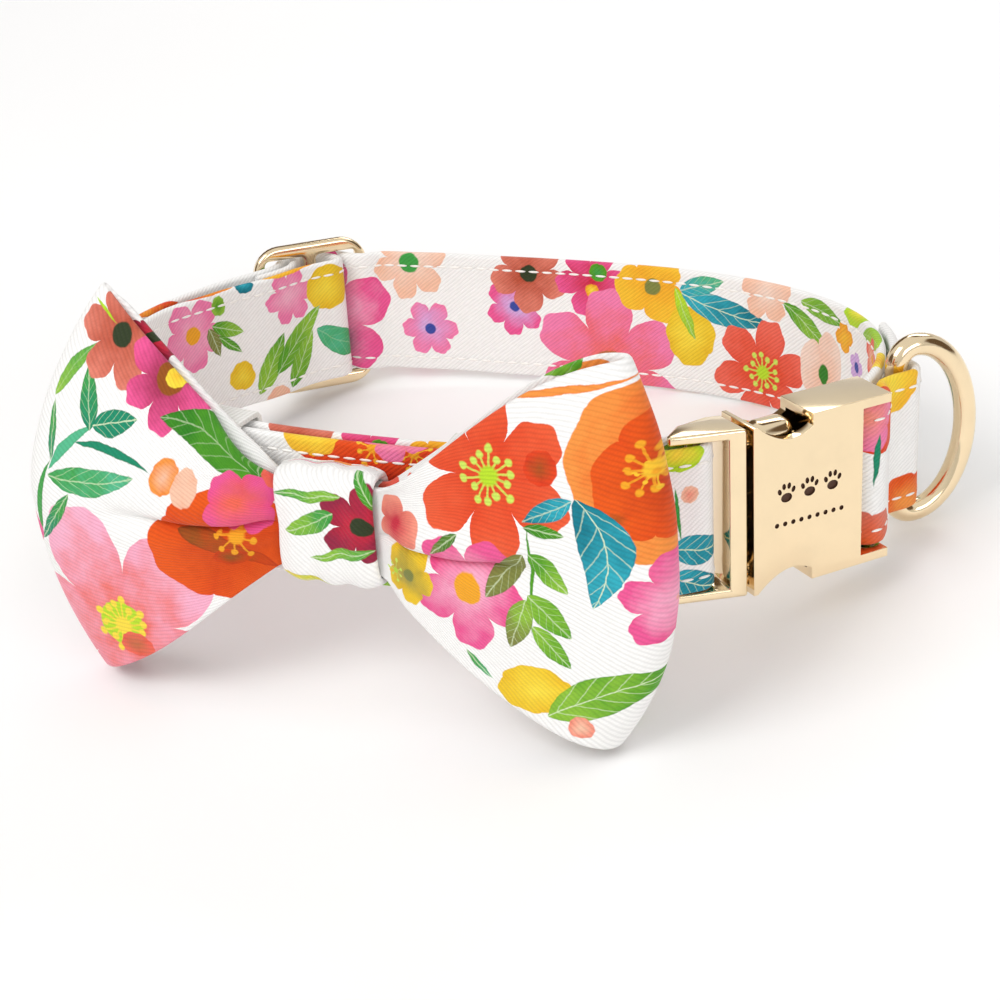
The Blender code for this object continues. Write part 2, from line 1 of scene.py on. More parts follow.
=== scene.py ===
"""Looks of a pet's bow tie collar: a printed cloth strap and bow with a gold buckle, slider and D-ring.

Shapes are laid out in millimetres in the collar's own plan, +X along the ring, -Y to the front and +Z up
the strap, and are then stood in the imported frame, in metres.
"""

from math import atan2, cos, floor, hypot, pi, radians, sin, sqrt

import bpy
import numpy as np
from mathutils import Matrix, Vector


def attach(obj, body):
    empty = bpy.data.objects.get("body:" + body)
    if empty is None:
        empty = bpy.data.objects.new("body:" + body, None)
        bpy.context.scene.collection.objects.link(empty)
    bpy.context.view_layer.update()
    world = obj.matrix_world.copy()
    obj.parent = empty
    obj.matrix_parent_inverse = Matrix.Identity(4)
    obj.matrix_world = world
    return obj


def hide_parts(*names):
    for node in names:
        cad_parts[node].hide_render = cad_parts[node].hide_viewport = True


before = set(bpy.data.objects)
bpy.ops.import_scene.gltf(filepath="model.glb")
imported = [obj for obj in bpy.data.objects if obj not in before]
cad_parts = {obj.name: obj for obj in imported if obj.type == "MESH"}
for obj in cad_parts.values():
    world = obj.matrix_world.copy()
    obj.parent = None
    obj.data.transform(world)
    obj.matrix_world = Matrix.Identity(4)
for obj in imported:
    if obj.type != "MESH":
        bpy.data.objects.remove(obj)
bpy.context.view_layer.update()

MM = 0.001
GAP = 0.35

# How the collar stands: the direction of its own +Z and the place of its plan's origin, in mm
FRAME_UP = Vector((0.04775, 0.17907, 0.98268))
FRAME_AT = Vector((-6.944, 9.015, 8.950))
TURN_UP = Vector((0, 0, 1)).rotation_difference(FRAME_UP).to_matrix().to_4x4()
STAND = Matrix.Translation(FRAME_AT * MM) @ TURN_UP @ Matrix.Scale(MM, 4)

# Strap
BAND_W = 25.0
BAND_T = 1.8
BAND_MID = BAND_W / 2
LAYER = BAND_T + GAP
STITCH_IN = 2.7  # stitch line from the strap's edge
STITCH_PITCH = 2.8
STITCH_HALF = (1.12, 0.2, 0.24)  # half a stitch: along, out and up

RING_PLAN = (
    (46.0, -38.9),
    (33.0, -45.4),
    (19.0, -49.2),
    (3.0, -49.9),
    (-17.8, -48.6),
    (-35.0, -45.4),
    (-50.5, -39.0),
    (-62.5, -28.8),
    (-69.5, -14.5),
    (-69.9, 1.0),
    (-65.4, 15.8),
    (-58.2, 28.2),
    (-46.5, 39.6),
    (-32.0, 44.3),
    (-12.7, 44.6),
    (8.2, 44.0),
    (28.5, 41.4),
    (45.8, 35.4),
    (59.2, 25.4),
    (67.0, 12.0),
    (68.8, -2.0),
    (66.6, -14.8),
)

# Slider
SLIDER_L = 23.6
SLIDER_H = 31.4
SLIDER_T = 2.2
SLIDER_BAR = 2.4
SLIDER_RAIL = 2.7
SLIDER_CORNER = 5.5
SLIDER_PLAN = (-51.6, 38.0)
SLIDER_TURN = 39.0

# Buckle
BUCKLE_H = 28.8
BUCKLE_T = 9.0
RAIL = BUCKLE_H / 2 - BAND_MID - GAP
PLUG_BAR = (46.0, -38.9)
PLUG_TURN = 30.3
PLUG_L = 8.1
PLUG_FACE = 3.3
PLUG_BACK = 3.8
SOCKET_TURN = 46.0
SOCKET_PLAN = (52.0, -34.7)
SOCKET_BAR = (69.6, -16.6)
SOCKET_WALL = 1.45
BAR_R = 1.2
LOOP_R = BAR_R + GAP + 0.15 + BAND_T / 2
NOTCH = (1.6, 11.6)
NOTCH_DEEP = 3.2

# D-ring
RING_WIRE = 3.8
RING_AXIS = (72.0, -1.6)
RING_TURN = 36.0
RING_REACH = 15.1
RING_TOP = 30.0
RING_FOOT = -4.2

# Bow
BOW_AT = (-8.0, -50.2)
BOW_TURN = -3.6
BOW_HALF = 57.0
BOW_CORNER = {1: 50.0, -1: 47.0}
BOW_HIGH = 32.9
RIGHT_TRIM = 2.6
BOW_PINCH = 7.5
BOW_MID = 12.9
LEFT_SWEEP = 5.0
LEFT_TWIST = 6.0
WING_CLOSE = {1: 0.42, -1: 0.93}
NEAR_BACK = 3.2  # where a closed wing's front lies, outwards from the strap
LOW_CORNER_TRIM = 2.5  # off the right wing's lower corner
CREASE_AT = {1: 0.1, -1: 0.07}  # share of the half height above the middle
CREASE_LIFT = {1: 2.3, -1: 1.8}
CREASE_DEEP = 5.6
CREASE_DROP = 3.2  # how far the upper half hangs over the crease
CREASE_REACH = 0.66  # share of the wing's length
BACK_PLEAT = 1.25
BOW_ROWS = 56
CLOTH_T = 1.4
KNOT_W = 17.0
KNOT_DEEP = 8.6
KNOT_H = 20.6
WEB_AT = 23.0
WEB_W = 9.0
WEB_T = 0.9


# ---------------------------------------------------------------- shop tools


def only(obj):
    bpy.ops.object.select_all(action="DESELECT")
    obj.select_set(True)
    bpy.context.view_layer.objects.active = obj


def apply_modifiers(obj):
    only(obj)
    for modifier in list(obj.modifiers):
        bpy.ops.object.modifier_apply(modifier=modifier.name)


def settle(obj, place=STAND):
    """Puts a finished piece's place in its mesh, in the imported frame."""
    obj.data.transform(place @ obj.matrix_world)
    obj.matrix_world = Matrix.Identity(4)
    obj.data.update()
    return obj


def smooth(obj, angle=None):
    only(obj)
    if angle is None:
        bpy.ops.object.shade_smooth()
    else:
        bpy.ops.object.shade_smooth_by_angle(angle=radians(angle))


def mesh_piece(name, points, faces, maps=None):
    """A piece from points and faces. maps holds one UV pair for each point, by map name."""
    mesh = bpy.data.meshes.new(name)
    mesh.from_pydata([tuple(p) for p in points], [], faces)
    for label, pairs in (maps or {}).items():
        layer = mesh.uv_layers.new(name=label)
        pairs = np.asarray(pairs, float)
        if len(pairs) == len(points):
            corners = np.empty(len(mesh.loops), np.int64)
            mesh.loops.foreach_get("vertex_index", corners)
            pairs = pairs[corners]
        layer.data.foreach_set("uv", pairs.ravel())
    mesh.validate()
    obj = bpy.data.objects.new(name, mesh)
    bpy.context.scene.collection.objects.link(obj)
    return obj


def block(name, low, high):
    """A cube drawn out to a block between two corners."""
    bpy.ops.object.select_all(action="DESELECT")
    middle = [(a + b) / 2 for a, b in zip(low, high)]
    sides = [b - a for a, b in zip(low, high)]
    bpy.ops.mesh.primitive_cube_add(size=1, location=middle)
    obj = bpy.context.active_object
    obj.name = name
    obj.data.name = name
    obj.scale = sides
    bpy.ops.object.transform_apply(location=True, rotation=True, scale=True)
    return obj


def rod(name, radius, start, end, sides=32):
    """A round bar between two points."""
    bpy.ops.object.select_all(action="DESELECT")
    a, b = Vector(start), Vector(end)
    bpy.ops.mesh.primitive_cylinder_add(vertices=sides, radius=radius, depth=(b - a).length)
    obj = bpy.context.active_object
    obj.name = name
    obj.data.name = name
    obj.rotation_mode = "QUATERNION"
    obj.rotation_quaternion = Vector((0, 0, 1)).rotation_difference(b - a)
    obj.location = (a + b) / 2
    bpy.ops.object.transform_apply(location=True, rotation=True, scale=True)
    return obj


def combine(obj, other, operation, keep=False):
    step = obj.modifiers.new("Step", "BOOLEAN")
    step.operation = operation
    step.object = other
    step.solver = "EXACT"
    only(obj)
    bpy.ops.object.modifier_apply(modifier=step.name)
    if not keep:
        bpy.data.objects.remove(other, do_unlink=True)


def round_edges(obj, width, segments=3, angle=32):
    edge = obj.modifiers.new("Edges", "BEVEL")
    edge.width = width
    edge.segments = segments
    edge.limit_method = "ANGLE"
    edge.angle_limit = radians(angle)
    edge.use_clamp_overlap = True
    edge.harden_normals = False
    only(obj)
    bpy.ops.object.modifier_apply(modifier=edge.name)


def tidy_mesh(obj, gap=0.002):
    """Joins doubled points and turns all faces outwards."""
    only(obj)
    bpy.ops.object.mode_set(mode="EDIT")
    bpy.ops.mesh.select_all(action="SELECT")
    bpy.ops.mesh.remove_doubles(threshold=gap)
    bpy.ops.mesh.normals_make_consistent(inside=False)
    bpy.ops.object.mode_set(mode="OBJECT")


# ---------------------------------------------------------------- plan curves


def smooth_line(points, per_span=10):
    """A centripetal Catmull-Rom curve through the points, which has no loops at close points."""
    pts = np.array(points, float)
    ring = np.vstack([2 * pts[0] - pts[1], pts, 2 * pts[-1] - pts[-2]])
    knots = np.concatenate([[0.0], np.cumsum(np.linalg.norm(np.diff(ring, axis=0), axis=1) ** 0.5)])
    out = []
    for i in range(len(pts) - 1):
        p = ring[i : i + 4]
        k = knots[i : i + 4]
        for step in range(per_span):
            t = k[1] + (k[2] - k[1]) * step / per_span
            a = [p[j] + (p[j + 1] - p[j]) * (t - k[j]) / (k[j + 1] - k[j]) for j in range(3)]
            b = [a[j] + (a[j + 1] - a[j]) * (t - k[j]) / (k[j + 2] - k[j]) for j in range(2)]
            out.append(b[0] + (b[1] - b[0]) * (t - k[1]) / (k[2] - k[1]))
    out.append(pts[-1])
    return np.array(out)


def lengths_along(line):
    steps = np.linalg.norm(np.diff(line, axis=0), axis=1)
    return np.concatenate([[0.0], np.cumsum(steps)])


def evenly(line, step):
    along = lengths_along(line)
    count = max(2, int(round(along[-1] / step)) + 1)
    where = np.linspace(0.0, along[-1], count)
    return np.column_stack([np.interp(where, along, line[:, k]) for k in range(line.shape[1])])


class PlanLine:
    """The ring's plan line: points by length along it and by offset outwards."""

    def __init__(self, points):
        self.line = smooth_line(points, 24)
        self.along = lengths_along(self.line)
        self.length = self.along[-1]

    def at(self, s):
        s = min(max(s, 0.0), self.length)
        return np.array([np.interp(s, self.along, self.line[:, k]) for k in (0, 1)])

    def direction(self, s):
        d = self.at(s + 0.6) - self.at(s - 0.6)
        return d / np.linalg.norm(d)

    def offset(self, s, n):
        d = self.direction(s)
        return self.at(s) + n * np.array([-d[1], d[0]])

    def nearest(self, point):
        gaps = np.linalg.norm(self.line - np.array(point), axis=1)
        return self.along[int(np.argmin(gaps))]


def local_to_plan(origin, turn, along, outward):
    c, s = cos(radians(turn)), sin(radians(turn))
    return np.array([origin[0] + along * c + outward * s, origin[1] + along * s - outward * c])


def arc_points(centre, radius, start, end, count):
    angles = np.radians(np.linspace(start, end, count))
    return [(centre[0] + radius * cos(a), centre[1] + radius * sin(a)) for a in angles]


def slider_to_plan(along, outward):
    c, s = cos(radians(SLIDER_TURN)), sin(radians(SLIDER_TURN))
    return (
        SLIDER_PLAN[0] + along * c - outward * s,
        SLIDER_PLAN[1] + along * s + outward * c,
    )


def strap_route():
    """The strap's centreline in plan, from its sewn end at the slider to its sewn tail past the D-ring."""
    ring = PlanLine(RING_PLAN)
    over = SLIDER_T / 2 + GAP + BAND_T / 2
    end_bar = (SLIDER_L - SLIDER_BAR) / 2
    loop = (
        (-12.6, -6.4),
        (-8.5, -5.0),
        (-5.0, -2.9),
        (-3.2, 0.2),
        (-1.8, over - 0.1),
        (0.8, over),
        (3.3, 1.2),
        (5.0, -0.7),
        (5.3, -2.8),
        (3.9, -4.2),
        (0.8, -4.5),
        (-3.4, -5.4),
        (-8.0, -7.4),
        (-12.0, -9.1),
    )
    route = [slider_to_plan(*p) for p in loop]
    start = ring.nearest(slider_to_plan(-12.0, -over))
    inner = -(LAYER + 0.55)
    route += [tuple(ring.offset(start + step, n)) for step, n in ((-8.5, -4.7), (-17.0, -4.0))]
    s = start - 26.0
    while s > 16.0:
        route.append(tuple(ring.offset(s, inner)))
        s -= 9.0
    route.append(tuple(local_to_plan(PLUG_BAR, PLUG_TURN, -6.0, -2.3)))
    route += arc_points(PLUG_BAR, LOOP_R, PLUG_TURN + 90, PLUG_TURN - 90, 9)
    route.append(tuple(local_to_plan(PLUG_BAR, PLUG_TURN, -5.5, 2.7)))
    s = 17.0
    while s < start - 7.0:
        route.append(tuple(ring.offset(s, 0.0)))
        s += 9.0
    top = over + BAND_T + GAP + 0.3
    passing = (
        (-end_bar - 0.4, -over - 0.9),
        (-7.4, -1.3),
        (-5.3, 2.0),
        (-2.8, top - 0.3),
        (0.0, top),
        (3.0, top - 0.9),
        (5.8, 1.6),
        (8.2, -1.5),
        (end_bar, -over - 0.9),
        (end_bar + 3.2, -over - 1.3),
    )
    route += [slider_to_plan(*p) for p in passing]
    s = ring.nearest(slider_to_plan(end_bar + 3.2, -over)) + 8.0
    while s < ring.length - 9.0:
        route.append(tuple(ring.offset(s, 0.0)))
        s += 9.0
    route += arc_points(SOCKET_BAR, LOOP_R, 165, 365, 9)
    route += [(71.9, -12.2), (70.7, -9.0)]
    pocket = RING_WIRE / 2 + GAP + BAND_T / 2 + 0.1
    route += [(72.0, -6.3)]
    route += arc_points(RING_AXIS, pocket, -45, 50, 5)
    route += [(72.6, 3.0), (70.9, 6.0), (69.9, 10.0), (68.6, 14.5), (66.7, 18.8)]
    return route


# ---------------------------------------------------------------- strap


def strap_section():
    """The strap's cross-section as (out, up, round): cloth sewn over webbing, puffed between its stitch
    lines and its edges. round is the way round the cloth, for the print."""
    half = BAND_T / 2 - 0.03
    edge_round = 0.75
    inset = [0.0, 0.06, 0.25, 0.5, edge_round, 1.3, 1.9, 2.3, 2.55, STITCH_IN, 2.85, 3.1, 3.6, 4.6, 6.8, 9.6]
    ups = inset + [BAND_MID] + [BAND_W - d for d in reversed(inset)]
    side = []
    for up in ups:
        d = min(up, BAND_W - up)
        rounded = sqrt(max(0.0, 1 - (1 - min(d, edge_round) / edge_round) ** 2))
        groove = 0.17 * np.exp(-(((d - STITCH_IN) / 0.28) ** 2))
        puff = 0.1 * np.exp(-(((d - STITCH_IN) / 0.75) ** 2))
        side.append(((half - groove + puff - 0.09) * rounded, up))
    outer = side
    inner = [(-out, up) for out, up in reversed(side[1:-1])]
    loop = outer + inner
    way = 0.0
    section = []
    for k, (out, up) in enumerate(loop):
        if k:
            way += hypot(out - loop[k - 1][0], up - loop[k - 1][1])
        section.append((out, up, way))
    close = way + hypot(loop[0][0] - loop[-1][0], loop[0][1] - loop[-1][1])
    return section, close


def strap_frame(step):
    """Points along the strap, the way outwards at each and the length up to each."""
    dense = evenly(smooth_line(strap_route(), 24), 0.2)
    line = evenly(dense, step)
    ahead = np.gradient(line, axis=0)
    ahead /= np.linalg.norm(ahead, axis=1)[:, None]
    out = np.column_stack([-ahead[:, 1], ahead[:, 0]])
    return line, out, lengths_along(line)


def build_strap():
    section, around = strap_section()
    line, out, along = strap_frame(0.75)
    n = len(section)
    points = []
    for (x, y), (ox, oy), s in zip(line, out, along):
        wave = 0.05 * sin(s * 0.9) * sin(s * 0.23 + 1.0)
        for off, up, _ in section:
            lift = off + wave * (1 if 3.4 < up < BAND_W - 3.4 else 0.4)
            points.append((x + ox * lift, y + oy * lift, up))
    faces = []
    pairs = []
    for i in range(len(line) - 1):
        for k in range(n):
            m = (k + 1) % n
            a, b = i * n + k, i * n + m
            faces.append((a, a + n, b + n, b))
            va = section[k][2]
            vb = section[m][2] if m else around
            pairs += [(along[i], va), (along[i + 1], va), (along[i + 1], vb), (along[i], vb)]
    last = (len(line) - 1) * n
    faces.append(tuple(range(n)))
    faces.append(tuple(last + k for k in reversed(range(n))))
    pairs += [(0.0, section[k][1]) for k in range(n)]
    pairs += [(along[-1], section[k][1]) for k in reversed(range(n))]
    strap = mesh_piece("strap_cloth", points, faces, {"print": pairs})
    only(strap)
    bpy.ops.object.mode_set(mode="EDIT")
    bpy.ops.mesh.select_all(action="SELECT")
    bpy.ops.mesh.normals_make_consistent(inside=False)
    bpy.ops.object.mode_set(mode="OBJECT")
    smooth(strap, 50)
    return settle(strap)


def build_stitches():
    """White thread along both edges on both faces, one short stitch after another."""
    bpy.ops.object.select_all(action="DESELECT")
    bpy.ops.mesh.primitive_uv_sphere_add(segments=8, ring_count=6, radius=1.0)
    seed = bpy.context.active_object
    base = np.array([v.co[:] for v in seed.data.vertices])
    base_faces = [tuple(p.vertices) for p in seed.data.polygons]
    bpy.data.objects.remove(seed, do_unlink=True)
    line, out, along = strap_frame(0.4)
    face_at = BAND_T / 2 - 0.13
    points, faces = [], []
    s = 3.0
    while s < along[-1] - 2.0:
        i = int(np.searchsorted(along, s))
        ahead = np.array([out[i][1], -out[i][0]])
        for side in (-1, 1):
            centre = line[i] + out[i] * side * face_at
            for up in (STITCH_IN, BAND_W - STITCH_IN):
                shape = base * np.array(STITCH_HALF)
                start = len(points)
                for px, py, pz in shape:
                    x, y = centre + ahead * px + out[i] * py
                    points.append((x, y, up + pz))
                faces += [tuple(start + k for k in face) for face in base_faces]
        s += STITCH_PITCH
    thread = mesh_piece("strap_stitches", points, faces)
    tidy_mesh(thread, 0.0001)
    smooth(thread)
    return settle(thread)


# ---------------------------------------------------------------- bow


def bow_to_plan(along, outward, height):
    c, s = cos(radians(BOW_TURN)), sin(radians(BOW_TURN))
    x = BOW_AT[0] + along * c + outward * s
    y = BOW_AT[1] + along * s - outward * c
    return (x, y, height)


def wing_section():
    return (
        (0.0, 5.5),
        (9.0, 5.7),
        (16.0, 9.4),
        (28.0, 12.2),
        (42.0, 12.6),
        (52.5, 11.6),
        (56.6, 9.2),
        (56.9, 5.6),
        (53.0, 2.9),
        (42.0, 2.2),
        (28.0, 2.3),
        (16.0, 2.8),
        (9.0, 3.3),
        (0.0, 3.3),
    )


def wing_point(side, along, outward, v, front):
    """Opens the section out over the wing's height, v from -1 at the lower edge to 1 at the upper."""
    throat = KNOT_W / 2 + 0.6
    share = max(0.0, (along - throat) / (BOW_HALF - throat))
    corner = BOW_CORNER[side] - (LOW_CORNER_TRIM if side > 0 and v < 0 else 0.0)
    edge = BOW_HALF - (BOW_HALF - corner) * abs(v) ** 2.2
    along = along if along < throat else throat + share * (edge - throat)
    rise = sin(min(share, 1.0) * pi / 2) ** 1.3
    straight = 0.75 if side < 0 and v > 0 else 0.5 if v < 0 else 0.2
    rise = (1 - straight) * rise + straight * share
    high = BOW_HIGH if side < 0 or v > 0 else BOW_HIGH - RIGHT_TRIM
    height = BOW_MID + v * (BOW_PINCH + (high - BOW_PINCH) * rise)
    opening = min(1.0, share * 8)
    # Each wing's tube closes towards its upper edge, the left one more
    if outward > NEAR_BACK:
        close = WING_CLOSE[side] * max(0.0, v) ** 1.3 * min(1.0, share * 3)
        outward = NEAR_BACK + (outward - NEAR_BACK) * (1 - close)
    if front:
        # The upper half folds over the lower along a crease that fades towards the wing's end
        fold = max(0.0, 1 - share / CREASE_REACH) ** 0.75 * opening
        crease = CREASE_AT[side]
        above = np.exp(-(((v - crease - 0.18) / 0.14) ** 2))
        below = np.exp(-(((v - crease + 0.09) / 0.09) ** 2))
        overhang = np.exp(-(((v - crease - 0.06) / 0.1) ** 2))
        outward += fold * (CREASE_LIFT[side] * above - CREASE_DEEP * below)
        height -= fold * CREASE_DROP * overhang * min(1.0, share * 3)
        pleats = np.exp(-share * 7) * opening
        outward += 0.5 * pleats * sin(v * 13 + 0.6 * side)
        outward += 0.35 * sin(v * 4.2 + side + share * 5) * sin(share * pi) * (1 - fold)
    else:
        # Most of the gathered cloth goes into pleats at the back
        outward += BACK_PLEAT * np.exp(-share * 2.2) * opening * sin(v * 17)
    if side < 0:
        outward -= LEFT_SWEEP * share**1.5 + LEFT_TWIST * share**2 * max(0.0, v - 0.1) ** 1.2
        along *= 1 - 0.06 * share * max(0.0, v)
    return side * along, outward, height


def build_bow():
    section = evenly(smooth_line(wing_section(), 12), 1.35)
    turn_at = int(np.argmax(section[:, 0]))
    rows = BOW_ROWS
    points, print_map, weave_map = [], [], []
    columns = 0
    for side in (1, -1):
        order = range(len(section)) if side > 0 else range(len(section) - 2, 0, -1)
        for i in order:
            along, outward = section[i]
            front = i < turn_at
            back = 1.0 if i > turn_at else 0.0
            blend_in = min(1.0, abs(i - turn_at) / 3.0)
            for k in range(rows + 1):
                v = -1 + 2 * k / rows
                a, o, h = wing_point(side, along, outward, v, front)
                points.append(bow_to_plan(a, o, h))
                flat = a + side * back * 2 * (BOW_HALF - abs(along)) * blend_in
                print_map.append((flat, h - BOW_MID))
                weave_map.append((side * (along + back * 2 * (BOW_HALF - along)), v * BOW_HIGH))
            columns += 1
    n = rows + 1
    faces = []
    for c in range(columns):
        d = (c + 1) % columns
        for k in range(rows):
            faces.append((c * n + k, d * n + k, d * n + k + 1, c * n + k + 1))
    bow = mesh_piece("bow_cloth", points, faces, {"print": print_map, "weave": weave_map})
    wall = bow.modifiers.new("Wall", "SOLIDIFY")
    wall.thickness = CLOTH_T
    wall.offset = 0.0
    wall.use_even_offset = False
    soft = bow.modifiers.new("Soft", "SUBSURF")
    soft.levels = 1
    soft.render_levels = 1
    apply_modifiers(bow)
    smooth(bow)
    return settle(bow)


def knot_loop():
    half_h = KNOT_H / 2 - CLOTH_T / 2
    back = GAP + CLOTH_T / 2
    front = KNOT_DEEP - CLOTH_T / 2
    loop = []
    for a in np.radians(np.arange(0, 360, 6)):
        c, s = cos(a), sin(a)
        u = (back + front) / 2 + (front - back) / 2 * np.sign(c) * abs(c) ** 0.5
        z = BOW_MID + half_h * np.sign(s) * abs(s) ** 0.66
        loop.append((u, z))
    return loop


def build_knot():
    """The band round the bow's middle, with soft folds along it."""
    loop = knot_loop()
    across = 26
    points, prints = [], []
    way = 0.0
    for k, (u, z) in enumerate(loop):
        if k:
            way += hypot(u - loop[k - 1][0], z - loop[k - 1][1])
        front = 1.0 if u > 4.4 else 0.0
        for j in range(across + 1):
            t = -1 + 2 * j / across
            width = KNOT_W / 2 * (1 - 0.035 * cos(t * 3) - 0.05 * front * (1 - abs(z - BOW_MID) / 12))
            folds = 0.28 * sin(t * 9.5 + 0.8 + 0.02 * way) * (0.4 + 0.6 * front)
            roll = -0.5 * abs(t) ** 6
            swell = 0.25 * (1 - t * t)
            lift = folds + roll + swell - 0.3
            centre = (4.4, BOW_MID)
            du, dz = u - centre[0], z - centre[1]
            norm = hypot(du, dz)
            points.append(bow_to_plan(t * width, u + du / norm * lift, z + dz / norm * lift))
            prints.append((t * width, z - BOW_MID if front else z + 40.0))
    n = across + 1
    count = len(loop)
    faces = []
    for k in range(count):
        m = (k + 1) % count
        for j in range(across):
            faces.append((k * n + j, k * n + j + 1, m * n + j + 1, m * n + j))
    knot = mesh_piece("knot_cloth", points, faces, {"print": prints})
    wall = knot.modifiers.new("Wall", "SOLIDIFY")
    wall.thickness = CLOTH_T - 0.2
    wall.offset = 0.0
    soft = knot.modifiers.new("Soft", "SUBSURF")
    soft.levels = 1
    soft.render_levels = 1
    apply_modifiers(knot)
    tidy_mesh(knot)
    smooth(knot)
    return settle(knot)


def build_elastic(side):
    """A flat ribbed elastic loop round both strap layers, behind one wing."""
    ring = PlanLine(RING_PLAN)
    seat = bow_to_plan(side * WEB_AT, 0.0, 0.0)
    s = ring.nearest(seat[:2])
    outside = BAND_T / 2 + GAP + WEB_T / 2
    inside = -(LAYER + 0.55 + BAND_T / 2 + GAP + WEB_T / 2)
    reach = GAP + WEB_T / 2
    corners = (
        (outside, BAND_W + reach, 0),
        (inside, BAND_W + reach, 90),
        (inside, -reach, 180),
        (outside, -reach, 270),
    )
    loop = []
    for cx, cz, start in corners:
        mx = cx - 0.9 if cx == outside else cx + 0.9
        mz = cz - 0.9 if cz > 0 else cz + 0.9
        loop += arc_points((mx, mz), 0.9, start, start + 90, 6)
    loop = evenly(np.array(loop + [loop[0]]), 1.0)[:-1]
    points, prints = [], []
    across = 12
    for k, (n_off, z) in enumerate(loop):
        for j in range(across + 1):
            along = s - WEB_W / 2 + WEB_W * j / across
            x, y = ring.offset(along, n_off)
            points.append((x, y, z))
            prints.append((along - s, k * 1.0))
    n = across + 1
    count = len(loop)
    faces = []
    for k in range(count):
        m = (k + 1) % count
        for j in range(across):
            faces.append((k * n + j, k * n + j + 1, m * n + j + 1, m * n + j))
    name = "elastic_loop_left" if side < 0 else "elastic_loop_right"
    loop_piece = mesh_piece(name, points, faces, {"print": prints})
    wall = loop_piece.modifiers.new("Wall", "SOLIDIFY")
    wall.thickness = WEB_T
    wall.offset = 0.0
    wall.use_even_offset = True
    apply_modifiers(loop_piece)
    tidy_mesh(loop_piece)
    round_edges(loop_piece, 0.2, 2, 60)
    smooth(loop_piece, 40)
    return settle(loop_piece)


# ---------------------------------------------------------------- metal


def half_place(origin, turn):
    """From a buckle half's own axes, X along it, -Y outwards and Z up, to the collar's plan."""
    return Matrix.Translation((origin[0], origin[1], 0)) @ Matrix.Rotation(radians(turn), 4, "Z")


def prism(name, plan, low, high):
    """An upright block over a plan outline, drawn anticlockwise."""
    count = len(plan)
    points = [(x, y, low) for x, y in plan] + [(x, y, high) for x, y in plan]
    faces = [tuple(reversed(range(count))), tuple(range(count, 2 * count))]
    for k in range(count):
        m = (k + 1) % count
        faces.append((k, m, m + count, k + count))
    return mesh_piece(name, points, faces)


def build_slider():
    """A flat plate with two windows and softly rounded edges."""
    half_l, half_h = SLIDER_L / 2, SLIDER_H / 2
    plate = block("slider_metal", (-half_l, -SLIDER_T / 2, -half_h), (half_l, SLIDER_T / 2, half_h))
    edge = plate.modifiers.new("Corners", "BEVEL")
    edge.width = SLIDER_CORNER
    edge.segments = 8
    edge.limit_method = "WEIGHT"
    weights = plate.data.attributes.new("bevel_weight_edge", "FLOAT", "EDGE")
    for e in plate.data.edges:
        a, b = (plate.data.vertices[i].co for i in e.vertices)
        weights.data[e.index].value = 1.0 if abs(a.y - b.y) > 1.0 else 0.0
    apply_modifiers(plate)
    window = half_l - SLIDER_BAR * 1.5
    for side in (-1, 1):
        x0, x1 = sorted((side * SLIDER_BAR / 2, side * (SLIDER_BAR / 2 + window)))
        hole = block("hole", (x0, -4, -half_h + SLIDER_RAIL), (x1, 4, half_h - SLIDER_RAIL))
        corner = hole.modifiers.new("Corners", "BEVEL")
        corner.width = 0.9
        corner.segments = 4
        apply_modifiers(hole)
        combine(plate, hole, "DIFFERENCE")
    tidy_mesh(plate)
    round_edges(plate, 0.8, 4, 45)
    smooth(plate, 50)
    place = Matrix.Translation((SLIDER_PLAN[0], SLIDER_PLAN[1], BAND_MID))
    return settle(plate, STAND @ place @ Matrix.Rotation(radians(SLIDER_TURN), 4, "Z"))


def build_ring():
    corner = 3.5
    wire = RING_WIRE / 2
    top, foot = RING_TOP - wire, RING_FOOT + wire
    mid = (top + foot) / 2
    route = [(0.0, foot + corner), (0.0, mid), (0.0, top - corner)]
    route += arc_points((corner, top - corner), corner, 170, 90, 8)
    reach = RING_REACH - wire - corner
    for k in range(1, 26):
        a = radians(90 - 180 * k / 26)
        route.append((corner + reach * cos(a), mid + (top - mid) * sin(a)))
    route += arc_points((corner, foot + corner), corner, 270, 190, 8)
    curve = bpy.data.curves.new("d_ring_metal", "CURVE")
    curve.dimensions = "3D"
    curve.bevel_depth = wire
    curve.bevel_resolution = 8
    spline = curve.splines.new("POLY")
    spline.points.add(len(route) - 1)
    spline.use_cyclic_u = True
    for point, (r, z) in zip(spline.points, route):
        point.co = (r, 0.0, z, 1.0)
    ring = bpy.data.objects.new("d_ring_metal", curve)
    bpy.context.scene.collection.objects.link(ring)
    only(ring)
    bpy.ops.object.convert(target="MESH")
    ring = bpy.context.active_object
    ring.name = "d_ring_metal"
    smooth(ring)
    place = Matrix.Translation((RING_AXIS[0], RING_AXIS[1], 0)) @ Matrix.Rotation(radians(RING_TURN), 4, "Z")
    return settle(ring, STAND @ place)


LOW, HIGH = BAND_MID - BUCKLE_H / 2, BAND_MID + BUCKLE_H / 2


